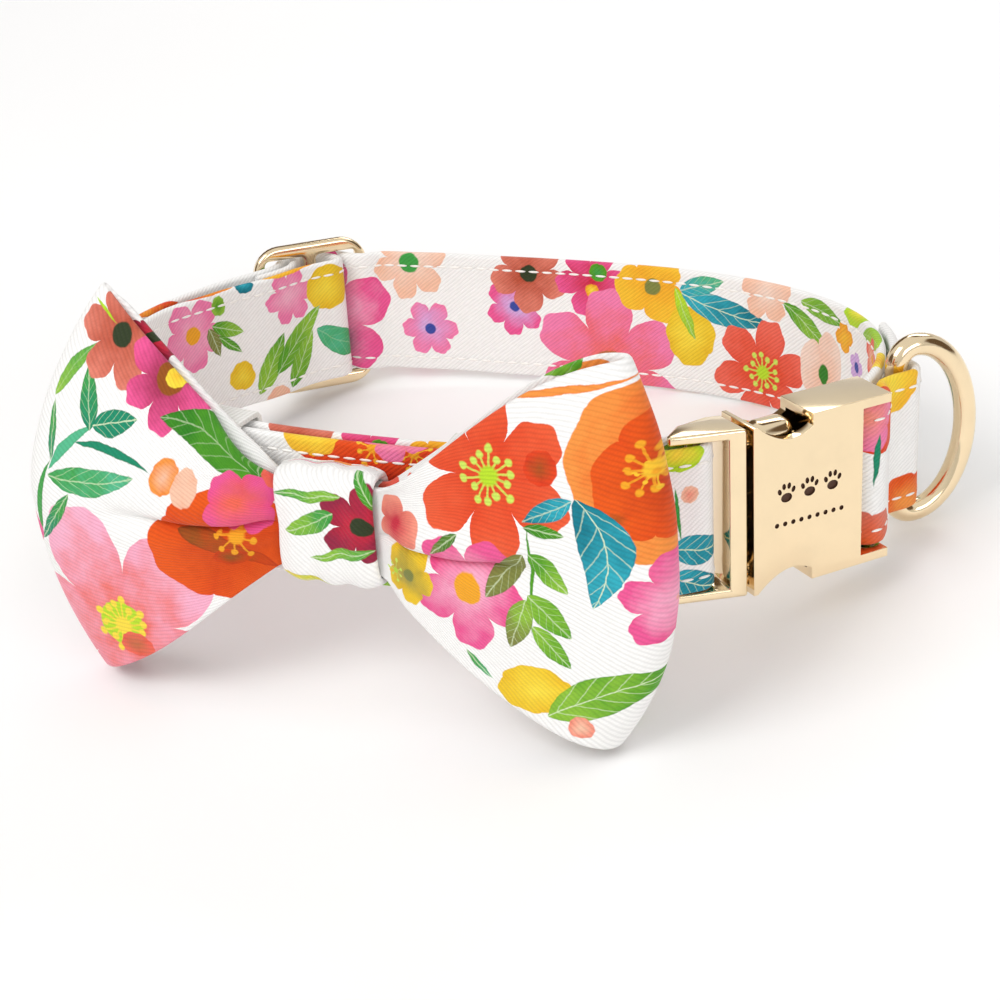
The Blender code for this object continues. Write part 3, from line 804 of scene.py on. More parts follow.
def build_plug():
    """The plug: a frame round the strap's bar, and behind it the shoulder with its prongs and tongue."""
    slant = (PLUG_FACE + PLUG_BACK) * sin(radians(SOCKET_TURN - PLUG_TURN))
    plan = (
        (-BAR_R - 3.2, -PLUG_FACE + 0.5),
        (PLUG_L, -PLUG_FACE),
        (PLUG_L - slant, PLUG_BACK),
        (3.4, PLUG_BACK),
        (-BAR_R - 0.6, BAR_R + 0.6),
        (-BAR_R - 3.2, -PLUG_FACE + 1.6),
    )
    frame_block = prism("plug_metal", plan, LOW, HIGH)
    wall = 2.7
    window = prism(
        "window",
        (
            (-9.0, -PLUG_FACE - 1),
            (PLUG_L - wall, -PLUG_FACE - 1),
            (PLUG_L - wall - 1.4, PLUG_BACK + 1),
            (-9.0, PLUG_BACK + 1),
        ),
        LOW + RAIL,
        HIGH - RAIL,
    )
    combine(frame_block, window, "DIFFERENCE")
    tidy_mesh(frame_block)
    round_edges(frame_block, 0.45, 3, 30)
    settle(frame_block, half_place(PLUG_BAR, PLUG_TURN))
    bar = rod("bar", BAR_R, (0, 0, LOW + RAIL / 2), (0, 0, HIGH - RAIL / 2))
    settle(bar, half_place(PLUG_BAR, PLUG_TURN))
    combine(frame_block, bar, "UNION")
    place = half_place(SOCKET_PLAN, SOCKET_TURN)
    for side in (-1, 1):
        z0, z1 = sorted((BAND_MID + side * 6.2, BAND_MID + side * 10.8))
        prong = block("prong", (-1.7, -1.6, z0), (15.0, 1.6, z1))
        round_edges(prong, 0.4, 3)
        z0, z1 = sorted((BAND_MID + side * 8.3, BAND_MID + side * (BUCKLE_H / 2 - 1.0)))
        button = block("button", (NOTCH[0] + 0.5, -2.6, z0), (NOTCH[1] - 1.6, 2.6, z1))
        round_edges(button, 2.2, 8)
        for extra in (prong, button):
            settle(extra, place)
            combine(frame_block, extra, "UNION")
    tongue = block("tongue", (-1.7, -1.3, BAND_MID - 2.2), (11.0, 1.3, BAND_MID + 2.2))
    round_edges(tongue, 0.4, 3)
    settle(tongue, place)
    combine(frame_block, tongue, "UNION")
    tidy_mesh(frame_block)
    smooth(frame_block, 42)
    return settle(frame_block)


ENGRAVED = 0.3  # depth of the plate's engraving


def wafer(name, outline, front, back):
    """A slab from y = front to y = back, with its outline given as (x, z)."""
    area = sum(a[0] * b[1] - b[0] * a[1] for a, b in zip(outline, outline[1:] + outline[:1]))
    if area < 0:
        outline = outline[::-1]
    count = len(outline)
    points = [(x, front, z) for x, z in outline] + [(x, back, z) for x, z in outline]
    faces = [tuple(range(count)), tuple(reversed(range(count, 2 * count)))]
    for k in range(count):
        m = (k + 1) % count
        faces.append((m, k, k + count, m + count))
    return mesh_piece(name, points, faces)


def oval(x, z, wide, high, tilt=0.0, sides=20):
    """An oval outline in the plate's plane."""
    outline = []
    for k in range(sides):
        a, b = wide * cos(2 * pi * k / sides), high * sin(2 * pi * k / sides)
        outline.append((x + a * cos(tilt) - b * sin(tilt), z + a * sin(tilt) + b * cos(tilt)))
    return outline


def engraving_outlines(x, z):
    """Three small paw prints over a row of dots, centred on the plate."""
    outlines = []
    for k in (-1, 0, 1):
        cx, cz = x + 4.4 * k, z + 2.0
        outlines.append(oval(cx, cz - 0.7, 1.05, 0.8))
        for toe, lift, lean in ((-1.3, 0.5, 0.35), (-0.48, 1.25, 0.1), (0.48, 1.25, -0.1), (1.3, 0.5, -0.35)):
            outlines.append(oval(cx + toe, cz + lift, 0.36, 0.55, lean, 14))
    for k in range(9):
        outlines.append(oval(x + 1.55 * (k - 4), z - 3.2, 0.42, 0.42, 0.0, 14))
    return outlines


def build_socket():
    """The socket: a hollow plate with a notch above and below for the prongs, and its bar."""
    half = BUCKLE_T / 2
    reach = hypot(SOCKET_BAR[0] - SOCKET_PLAN[0], SOCKET_BAR[1] - SOCKET_PLAN[1])
    face = reach - LOOP_R - BAND_T / 2 - 0.5
    body = block("socket_metal", (0.5, -half, LOW), (reach + 1.4, half, HIGH))
    slot = block("slot", (face, -half - 1, LOW + RAIL), (reach + 4.0, half + 1, HIGH - RAIL))
    combine(body, slot, "DIFFERENCE")
    for side in (-1, 1):
        edge = BAND_MID + side * BUCKLE_H / 2
        rim = NOTCH[0] - 0.2
        wide = NOTCH[1] - rim
        outline = [(rim, edge + side * 4.0)]
        for k in range(25):
            t = k / 24
            deep = NOTCH_DEEP * (0.04 + 0.96 * sin(pi * 0.8 * t) ** 0.9)
            outline.append((rim + wide * t, edge - side * deep))
        outline.append((NOTCH[1], edge + side * 4.0))
        notch = wafer("notch", outline, -half - 1, half + 1)
        combine(body, notch, "DIFFERENCE")
    tidy_mesh(body)
    round_edges(body, 0.55, 4, 40)
    deep = half - SOCKET_WALL
    hollow = block("hollow", (-1.0, -deep, LOW + SOCKET_WALL), (face - SOCKET_WALL, deep, HIGH - SOCKET_WALL))
    combine(body, hollow, "DIFFERENCE")
    bar = rod("bar", BAR_R, (reach, 0, LOW + RAIL / 2), (reach, 0, HIGH - RAIL / 2))
    combine(body, bar, "UNION")
    tidy_mesh(body)
    for outline in engraving_outlines(face / 2 + 0.4, BAND_MID):
        combine(body, wafer("engraving", outline, -half - 1, -half + ENGRAVED), "DIFFERENCE")
    smooth(body, 42)
    for polygon in body.data.polygons:
        x, y, z = polygon.center
        on_plate = 2.2 < x < face - 1.5 and abs(z - BAND_MID) < 6.5
        if on_plate and -half + 0.01 < y < -half + ENGRAVED + 0.05:
            polygon.material_index = 1
    settle(body, half_place(SOCKET_PLAN, SOCKET_TURN))
    return settle(body)


# ---------------------------------------------------------------- light and camera


def build_stage():
    bpy.ops.object.select_all(action="DESELECT")
    bpy.ops.mesh.primitive_plane_add(size=8.0, location=(0, 0, -0.0004))
    floor = bpy.context.active_object
    floor.name = "floor"
    return floor


def add_lamp(name, place, target, size, power, colour=(1, 1, 1)):
    light = bpy.data.lights.new(name, "AREA")
    light.shape = "RECTANGLE"
    light.size = size[0]
    light.size_y = size[1]
    light.energy = power
    light.color = colour
    lamp = bpy.data.objects.new(name, light)
    bpy.context.scene.collection.objects.link(lamp)
    lamp.location = place
    lamp.rotation_mode = "QUATERNION"
    lamp.rotation_quaternion = (Vector(target) - Vector(place)).to_track_quat("-Z", "Y")
    return lamp


def add_camera():
    """A 72 mm lens to the front right of the bow, looking down on it."""
    tilt, roll, round_by = radians(24.57), radians(-3.53), radians(20)
    turn = Matrix.Rotation(round_by, 3, "Z")
    place = turn @ Vector((0, -336.0, 0)) + Vector((0, 0, 146.5))
    ahead = turn @ Vector((0, cos(tilt), -sin(tilt)))
    up = turn @ Vector((0, sin(tilt), cos(tilt)))
    right = turn @ Vector((1, 0, 0))
    across = cos(roll) * right + sin(roll) * up
    upwards = -sin(roll) * right + cos(roll) * up
    rows = [(across[k], upwards[k], -ahead[k], place[k] * MM) for k in range(3)]
    data = bpy.data.cameras.new("camera")
    data.lens = 72.0
    data.sensor_width = 36.0
    data.clip_start = 0.01
    camera = bpy.data.objects.new("camera", data)
    bpy.context.scene.collection.objects.link(camera)
    local = Matrix(rows + [(0, 0, 0, 1)])
    camera.matrix_world = Matrix.Translation(FRAME_AT * MM) @ TURN_UP @ local
    bpy.context.scene.camera = camera
    return camera


# ---------------------------------------------------------------- node tools


def dye(red, green, blue):
    """A printed colour, from its 0 to 255 screen values."""
    parts = []
    for part in (red, green, blue):
        c = part / 255
        parts.append(c / 12.92 if c <= 0.04045 else ((c + 0.055) / 1.055) ** 2.4)
    return (*parts, 1.0)


class Nodes:
    """Writes node trees a line at a time. Each call returns the new node's output."""

    def __init__(self, tree):
        self.tree = tree

    def add(self, kind, **settings):
        node = self.tree.nodes.new(kind)
        for key, value in settings.items():
            setattr(node, key, value)
        return node

    def feed(self, socket, value):
        if isinstance(value, bpy.types.NodeSocket):
            self.tree.links.new(value, socket)
        elif value is not None:
            socket.default_value = value

    def math(self, operation, *values, clamp=False):
        node = self.add("ShaderNodeMath", operation=operation, use_clamp=clamp)
        for socket, value in zip(node.inputs, values):
            self.feed(socket, value)
        return node.outputs[0]

    def plus(self, first, second, clamp=False):
        return self.math("ADD", first, second, clamp=clamp)

    def minus(self, first, second, clamp=False):
        return self.math("SUBTRACT", first, second, clamp=clamp)

    def times(self, first, second, clamp=False):
        return self.math("MULTIPLY", first, second, clamp=clamp)

    def over(self, first, second, clamp=False):
        return self.math("DIVIDE", first, second, clamp=clamp)

    def grey(self, value):
        """A grey from one number."""
        node = self.add("ShaderNodeCombineColor")
        for socket in node.inputs:
            self.feed(socket, value)
        return node.outputs[0]

    def bump(self, shader, height, strength, depth):
        """Raises the finish by height, depth being in metres."""
        node = self.add("ShaderNodeBump")
        node.inputs["Strength"].default_value = strength
        node.inputs["Distance"].default_value = depth
        self.feed(node.inputs["Height"], height)
        self.feed(shader.inputs["Normal"], node.outputs[0])

    def vector(self, operation, *values, out=0):
        node = self.add("ShaderNodeVectorMath", operation=operation)
        for socket, value in zip(node.inputs, values):
            self.feed(socket, value)
        return node.outputs[out]

    def combine(self, x, y, z=0.0):
        node = self.add("ShaderNodeCombineXYZ")
        for socket, value in zip(node.inputs, (x, y, z)):
            self.feed(socket, value)
        return node.outputs[0]

    def separate(self, value):
        node = self.add("ShaderNodeSeparateXYZ")
        self.feed(node.inputs[0], value)
        return node.outputs

    def mix(self, share, first, second, blend="MIX"):
        node = self.add("ShaderNodeMix", data_type="RGBA", blend_type=blend)
        self.feed(node.inputs[0], share)
        self.feed(node.inputs[6], first)
        self.feed(node.inputs[7], second)
        return node.outputs[2]

    def noise(self, place, scale, detail=2.0, rough=0.5, colour=False):
        node = self.add("ShaderNodeTexNoise")
        self.feed(node.inputs["Vector"], place)
        node.inputs["Scale"].default_value = scale
        node.inputs["Detail"].default_value = detail
        node.inputs["Roughness"].default_value = rough
        return node.outputs["Color" if colour else "Fac"]

    def step(self, value, low, high, to_low=0.0, to_high=1.0):
        node = self.add("ShaderNodeMapRange", interpolation_type="SMOOTHSTEP")
        for socket, number in zip(node.inputs, (value, low, high, to_low, to_high)):
            self.feed(socket, number)
        return node.outputs[0]

    def group(self, tree, **values):
        node = self.add("ShaderNodeGroup", node_tree=tree)
        for key, value in values.items():
            self.feed(node.inputs[key.replace("_", " ")], value)
        return node.outputs


KINDS = {"f": "NodeSocketFloat", "v": "NodeSocketVector", "c": "NodeSocketColor"}


def new_group(name, takes, gives):
    """An empty node group. takes and gives are "name:kind" words, kind f, v or c."""
    tree = bpy.data.node_groups.new(name, "ShaderNodeTree")
    for words, way in ((takes, "INPUT"), (gives, "OUTPUT")):
        for word in words:
            label, kind = word.split(":")
            tree.interface.new_socket(name=label.replace("_", " "), in_out=way, socket_type=KINDS[kind])
    nodes = Nodes(tree)
    return tree, nodes, nodes.add("NodeGroupInput").outputs, nodes.add("NodeGroupOutput").inputs


def make_warp():
    """Wanders a flat place a little, as wet paint does at its edges, and gives the tones of a wash."""
    takes = ("Place:v", "Wander:f")
    tree, n, i, o = new_group("paint_wander", takes, ("Place:v", "Wash:f", "Grain:f"))
    slow = n.noise(i["Place"], 0.28, 2.0, colour=True)
    fine = n.noise(i["Place"], 1.3, 2.0, colour=True)
    slow = n.vector("SUBTRACT", slow, (0.5, 0.5, 0.5))
    fine = n.vector("SUBTRACT", fine, (0.5, 0.5, 0.5))
    slow = n.vector("MULTIPLY", slow, (3.0, 3.0, 0))
    fine = n.vector("MULTIPLY", fine, (0.9, 0.9, 0))
    moved = n.vector("ADD", slow, fine)
    scaled = n.add("ShaderNodeVectorMath", operation="SCALE")
    n.feed(scaled.inputs[0], moved)
    n.feed(scaled.inputs["Scale"], i["Wander"])
    n.feed(o["Place"], n.vector("ADD", i["Place"], scaled.outputs[0]))
    n.feed(o["Wash"], n.noise(i["Place"], 0.17, 4.0, 0.6))
    n.feed(o["Grain"], n.noise(i["Place"], 0.9, 3.0, 0.6))
    return tree


def make_flower():
    """One painted flower over what lies under it."""
    takes = (
        "Under:c", "Place:v", "Wash:f", "X:f", "Y:f", "Size:f", "Petals:f", "Turn:f", "Notch:f",
        "Inner:c", "Outer:c", "Eye:f", "Eye_colour:c", "Stretch:f",
    )
    tree, n, i, o = new_group("painted_flower", takes, ("Colour:c",))
    px, py, _ = n.separate(i["Place"])
    dx = n.minus(px, i["X"])
    dy = n.times(n.minus(py, i["Y"]), i["Stretch"])
    far = n.math("SQRT", n.plus(n.times(dx, dx), n.times(dy, dy)))
    r = n.over(far, i["Size"])
    angle = n.plus(n.math("ARCTAN2", dy, dx), i["Turn"])
    lobe = n.math("ABSOLUTE", n.math("COSINE", n.times(n.times(angle, i["Petals"]), 0.5)))
    lobe = n.math("POWER", lobe, 0.55)
    frill = n.times(n.math("SINE", n.times(angle, n.times(i["Petals"], 3.0))), 0.022)
    reach = n.minus(1.0, n.times(i["Notch"], n.minus(1.0, lobe)))
    reach = n.plus(reach, frill)
    inside = n.times(n.minus(reach, r), i["Size"])
    mask = n.step(inside, -0.08, 0.14)
    wash = n.times(n.minus(i["Wash"], 0.5), 1.6)
    tone = n.plus(n.times(r, 1.15), wash, clamp=True)
    petal = n.mix(tone, i["Inner"], i["Outer"])
    between = n.times(n.minus(1.0, lobe), 0.75, clamp=True)
    rays = n.math("SINE", n.times(angle, n.times(i["Petals"], 7.0)))
    rays = n.times(n.times(rays, 0.06), n.minus(1.1, r, clamp=True))
    dark = n.plus(n.times(between, r), rays, clamp=True)
    petal = n.mix(n.times(dark, 0.55), petal, n.mix(1.0, petal, petal, "MULTIPLY"))
    eye_at = n.plus(i["Eye"], n.times(wash, 0.06))
    eye = n.step(n.times(n.minus(eye_at, r), i["Size"]), -0.12, 0.2)
    petal = n.mix(eye, petal, i["Eye_colour".replace("_", " ")])
    n.feed(o["Colour"], n.mix(mask, i["Under"], petal))
    return tree


def make_stamens():
    """A ring of pollen dots on thin stalks round a small disc."""
    takes = ("Under:c", "Place:v", "X:f", "Y:f", "Size:f", "Count:f", "Disc:f", "Dot:c", "Core:c")
    tree, n, i, o = new_group("painted_stamens", takes, ("Colour:c",))
    px, py, _ = n.separate(i["Place"])
    dx, dy = n.minus(px, i["X"]), n.minus(py, i["Y"])
    far = n.math("SQRT", n.plus(n.times(dx, dx), n.times(dy, dy)))
    r = n.over(far, i["Size"])
    turns = n.times(n.over(n.math("ARCTAN2", dy, dx), 2 * pi), i["Count"])
    cell = n.math("FLOOR", turns)
    off = n.minus(n.minus(turns, cell), 0.5)
    arc = n.times(n.over(off, i["Count"]), n.times(r, 2 * pi))
    scatter = n.math("SINE", n.times(cell, 2.4))
    ring_at = n.plus(0.8, n.times(scatter, 0.16))
    out = n.minus(r, ring_at)
    gap = n.math("SQRT", n.plus(n.times(out, out), n.times(arc, arc)))
    dots = n.step(gap, 0.17, 0.1)
    stalk = n.times(n.step(n.math("ABSOLUTE", arc), 0.055, 0.02), n.step(r, ring_at, n.minus(ring_at, 0.1)))
    disc = n.step(n.minus(i["Disc"], r), -0.05, 0.1)
    found = n.math("MAXIMUM", dots, n.times(stalk, 0.85))
    colour = n.mix(found, i["Under"], i["Dot"])
    n.feed(o["Colour"], n.mix(disc, colour, i["Core"]))
    return tree


def make_leaf():
    """One painted leaf, from its stalk end, with a pale midrib and veins."""
    takes = (
        "Under:c", "Place:v", "Wash:f", "X:f", "Y:f", "Length:f", "Width:f", "Turn:f", "Bend:f",
        "Body:c", "Tip:c", "Vein:f",
    )
    tree, n, i, o = new_group("painted_leaf", takes, ("Colour:c",))
    px, py, _ = n.separate(i["Place"])
    dx, dy = n.minus(px, i["X"]), n.minus(py, i["Y"])
    c, s = n.math("COSINE", i["Turn"]), n.math("SINE", i["Turn"])
    lx = n.plus(n.times(dx, c), n.times(dy, s))
    ly = n.minus(n.times(dy, c), n.times(dx, s))
    t = n.over(lx, i["Length"])
    inside = n.times(t, n.minus(1.0, t))
    ly = n.minus(ly, n.times(n.times(inside, 4.0), i["Bend"]))
    held = n.math("MAXIMUM", inside, 0.0)
    half = n.times(n.math("POWER", n.times(held, 4.0), 0.8), n.minus(1.2, n.times(t, 0.45)))
    half = n.times(half, n.times(i["Width"], 0.5))
    side = n.math("ABSOLUTE", ly)
    mask = n.step(n.minus(half, side), 0.0, 0.2)
    wash = n.plus(t, n.times(n.minus(i["Wash"], 0.5), 2.2), clamp=True)
    colour = n.mix(wash, i["Body"], i["Tip"])
    edge = n.step(n.minus(half, side), 0.45, 0.1)
    colour = n.mix(n.times(edge, 0.3), colour, n.mix(1.0, colour, colour, "MULTIPLY"))
    rib = n.step(side, 0.16, 0.06)
    slope = n.minus(n.times(t, 6.0), n.times(n.over(side, i["Width"]), 3.4))
    vein = n.step(n.math("ABSOLUTE", n.minus(n.math("FRACT", slope), 0.5)), 0.075, 0.03)
    lines = n.times(n.math("MAXIMUM", rib, n.times(vein, 0.6)), i["Vein"])
    colour = n.mix(lines, colour, dye(225, 240, 200))
    n.feed(o["Colour"], n.mix(mask, i["Under"], colour))
    return tree


def make_twill():
    """Fine slanted twill: ribs with the twist of their yarn, and painted shade in the grooves between the
    ribs.
    """
    takes = ("Place:v", "Turn:f", "Pitch:f")
    tree, n, i, o = new_group("twill_weave", takes, ("Height:f", "Shade:f"))
    px, py, _ = n.separate(i["Place"])
    c, s = n.math("COSINE", i["Turn"]), n.math("SINE", i["Turn"])
    a = n.plus(n.times(px, c), n.times(py, s))
    b = n.minus(n.times(py, c), n.times(px, s))
    drift = n.times(n.noise(i["Place"], 0.35, 1.0), 0.5)
    turns = n.plus(n.over(a, i["Pitch"]), drift)
    rib = n.plus(0.5, n.times(n.math("SINE", n.times(turns, 2 * pi)), 0.5))
    along = n.plus(n.over(b, n.times(i["Pitch"], 0.62)), n.times(turns, 0.5))
    yarn = n.plus(0.5, n.times(n.math("SINE", n.times(along, 2 * pi)), 0.5))
    fuzz = n.noise(i["Place"], 5.0, 2.0)
    high = n.times(n.math("POWER", rib, 0.6), n.plus(0.72, n.times(yarn, 0.28)))
    n.feed(o["Height"], n.plus(high, n.times(fuzz, 0.15)))
    # Shade is painted shade: darker in the grooves between the ribs, with a little random fuzz tone
    shade = n.plus(n.times(n.minus(1.0, high), 0.16), n.times(fuzz, 0.03))
    n.feed(o["Shade"], shade)
    return tree


def new_material(name):
    material = bpy.data.materials.new(name)
    material.use_nodes = True
    n = Nodes(material.node_tree)
    shader = material.node_tree.nodes["Principled BSDF"]
    return material, n, shader


# ---------------------------------------------------------------- the print, charted in millimetres of cloth

WHITE = dye(250, 249, 247)
RUST = dye(178, 66, 34)
RUST_PALE = dye(226, 128, 108)
CRIMSON = dye(206, 36, 62)
WINE = dye(150, 34, 66)
MAGENTA = dye(238, 88, 150)
PINK = dye(245, 128, 176)
PINK_PALE = dye(250, 180, 206)
CORAL = dye(240, 104, 84)
CORAL_PALE = dye(246, 150, 128)
PEACH = dye(248, 196, 168)
PEACH_PALE = dye(250, 222, 206)
ORANGE = dye(232, 88, 12)
ORANGE_DEEP = dye(206, 66, 6)
ORANGE_PALE = dye(246, 150, 66)
SCARLET = dye(226, 66, 22)
AMBER = dye(244, 168, 34)
GOLDEN = dye(250, 196, 48)
YELLOW = dye(250, 222, 66)
YELLOW_DEEP = dye(240, 200, 40)
LIME = dye(186, 224, 40)
LIME_PALE = dye(206, 232, 96)
LEAF = dye(84, 160, 30)
LEAF_PALE = dye(146, 196, 60)
LEAF_DEEP = dye(46, 128, 28)
GREEN = dye(62, 160, 70)
OLIVE = dye(128, 134, 66)
TEAL = dye(20, 140, 104)
TEAL_PALE = dye(84, 186, 140)
AQUA = dye(46, 172, 190)
AQUA_DEEP = dye(4, 122, 140)
LILAC = dye(214, 176, 228)
BLUE = dye(58, 74, 160)
TAN = dye(186, 108, 62)
DARK = dye(46, 58, 30)
BROWN = dye(150, 80, 20)


def flower(x, y, size, petals, turn, notch, inner, outer, eye=0.0, eye_colour=DARK, stretch=1.0):
    return (
        "flower",
        dict(
            X=x, Y=y, Size=size, Petals=float(petals), Turn=turn, Notch=notch, Inner=inner, Outer=outer,
            Eye=eye, Eye_colour=eye_colour, Stretch=stretch,
        ),
    )


def dot(x, y, size, colour, edge=None, stretch=1.0):
    return flower(x, y, size, 3, 0.4, 0.1, colour, edge or colour, -0.3, colour, stretch)


def leaf(x0, y0, x1, y1, width, body, tip=None, bend=0.0, vein=0.55):
    """A leaf from its stalk end to its tip. bend bows it to the left of that way."""
    return (
        "leaf",
        dict(
            X=x0, Y=y0, Length=hypot(x1 - x0, y1 - y0), Turn=atan2(y1 - y0, x1 - x0), Width=width,
            Bend=bend, Body=body, Tip=tip or body, Vein=vein,
        ),
    )


def stalk(x0, y0, x1, y1, width, colour, bend=0.0):
    return leaf(x0, y0, x1, y1, width, colour, colour, bend, 0.0)


def stamens(x, y, size, count, disc, dots, core):
    return ("stamens", dict(X=x, Y=y, Size=size, Count=float(count), Disc=disc, Dot=dots, Core=core))


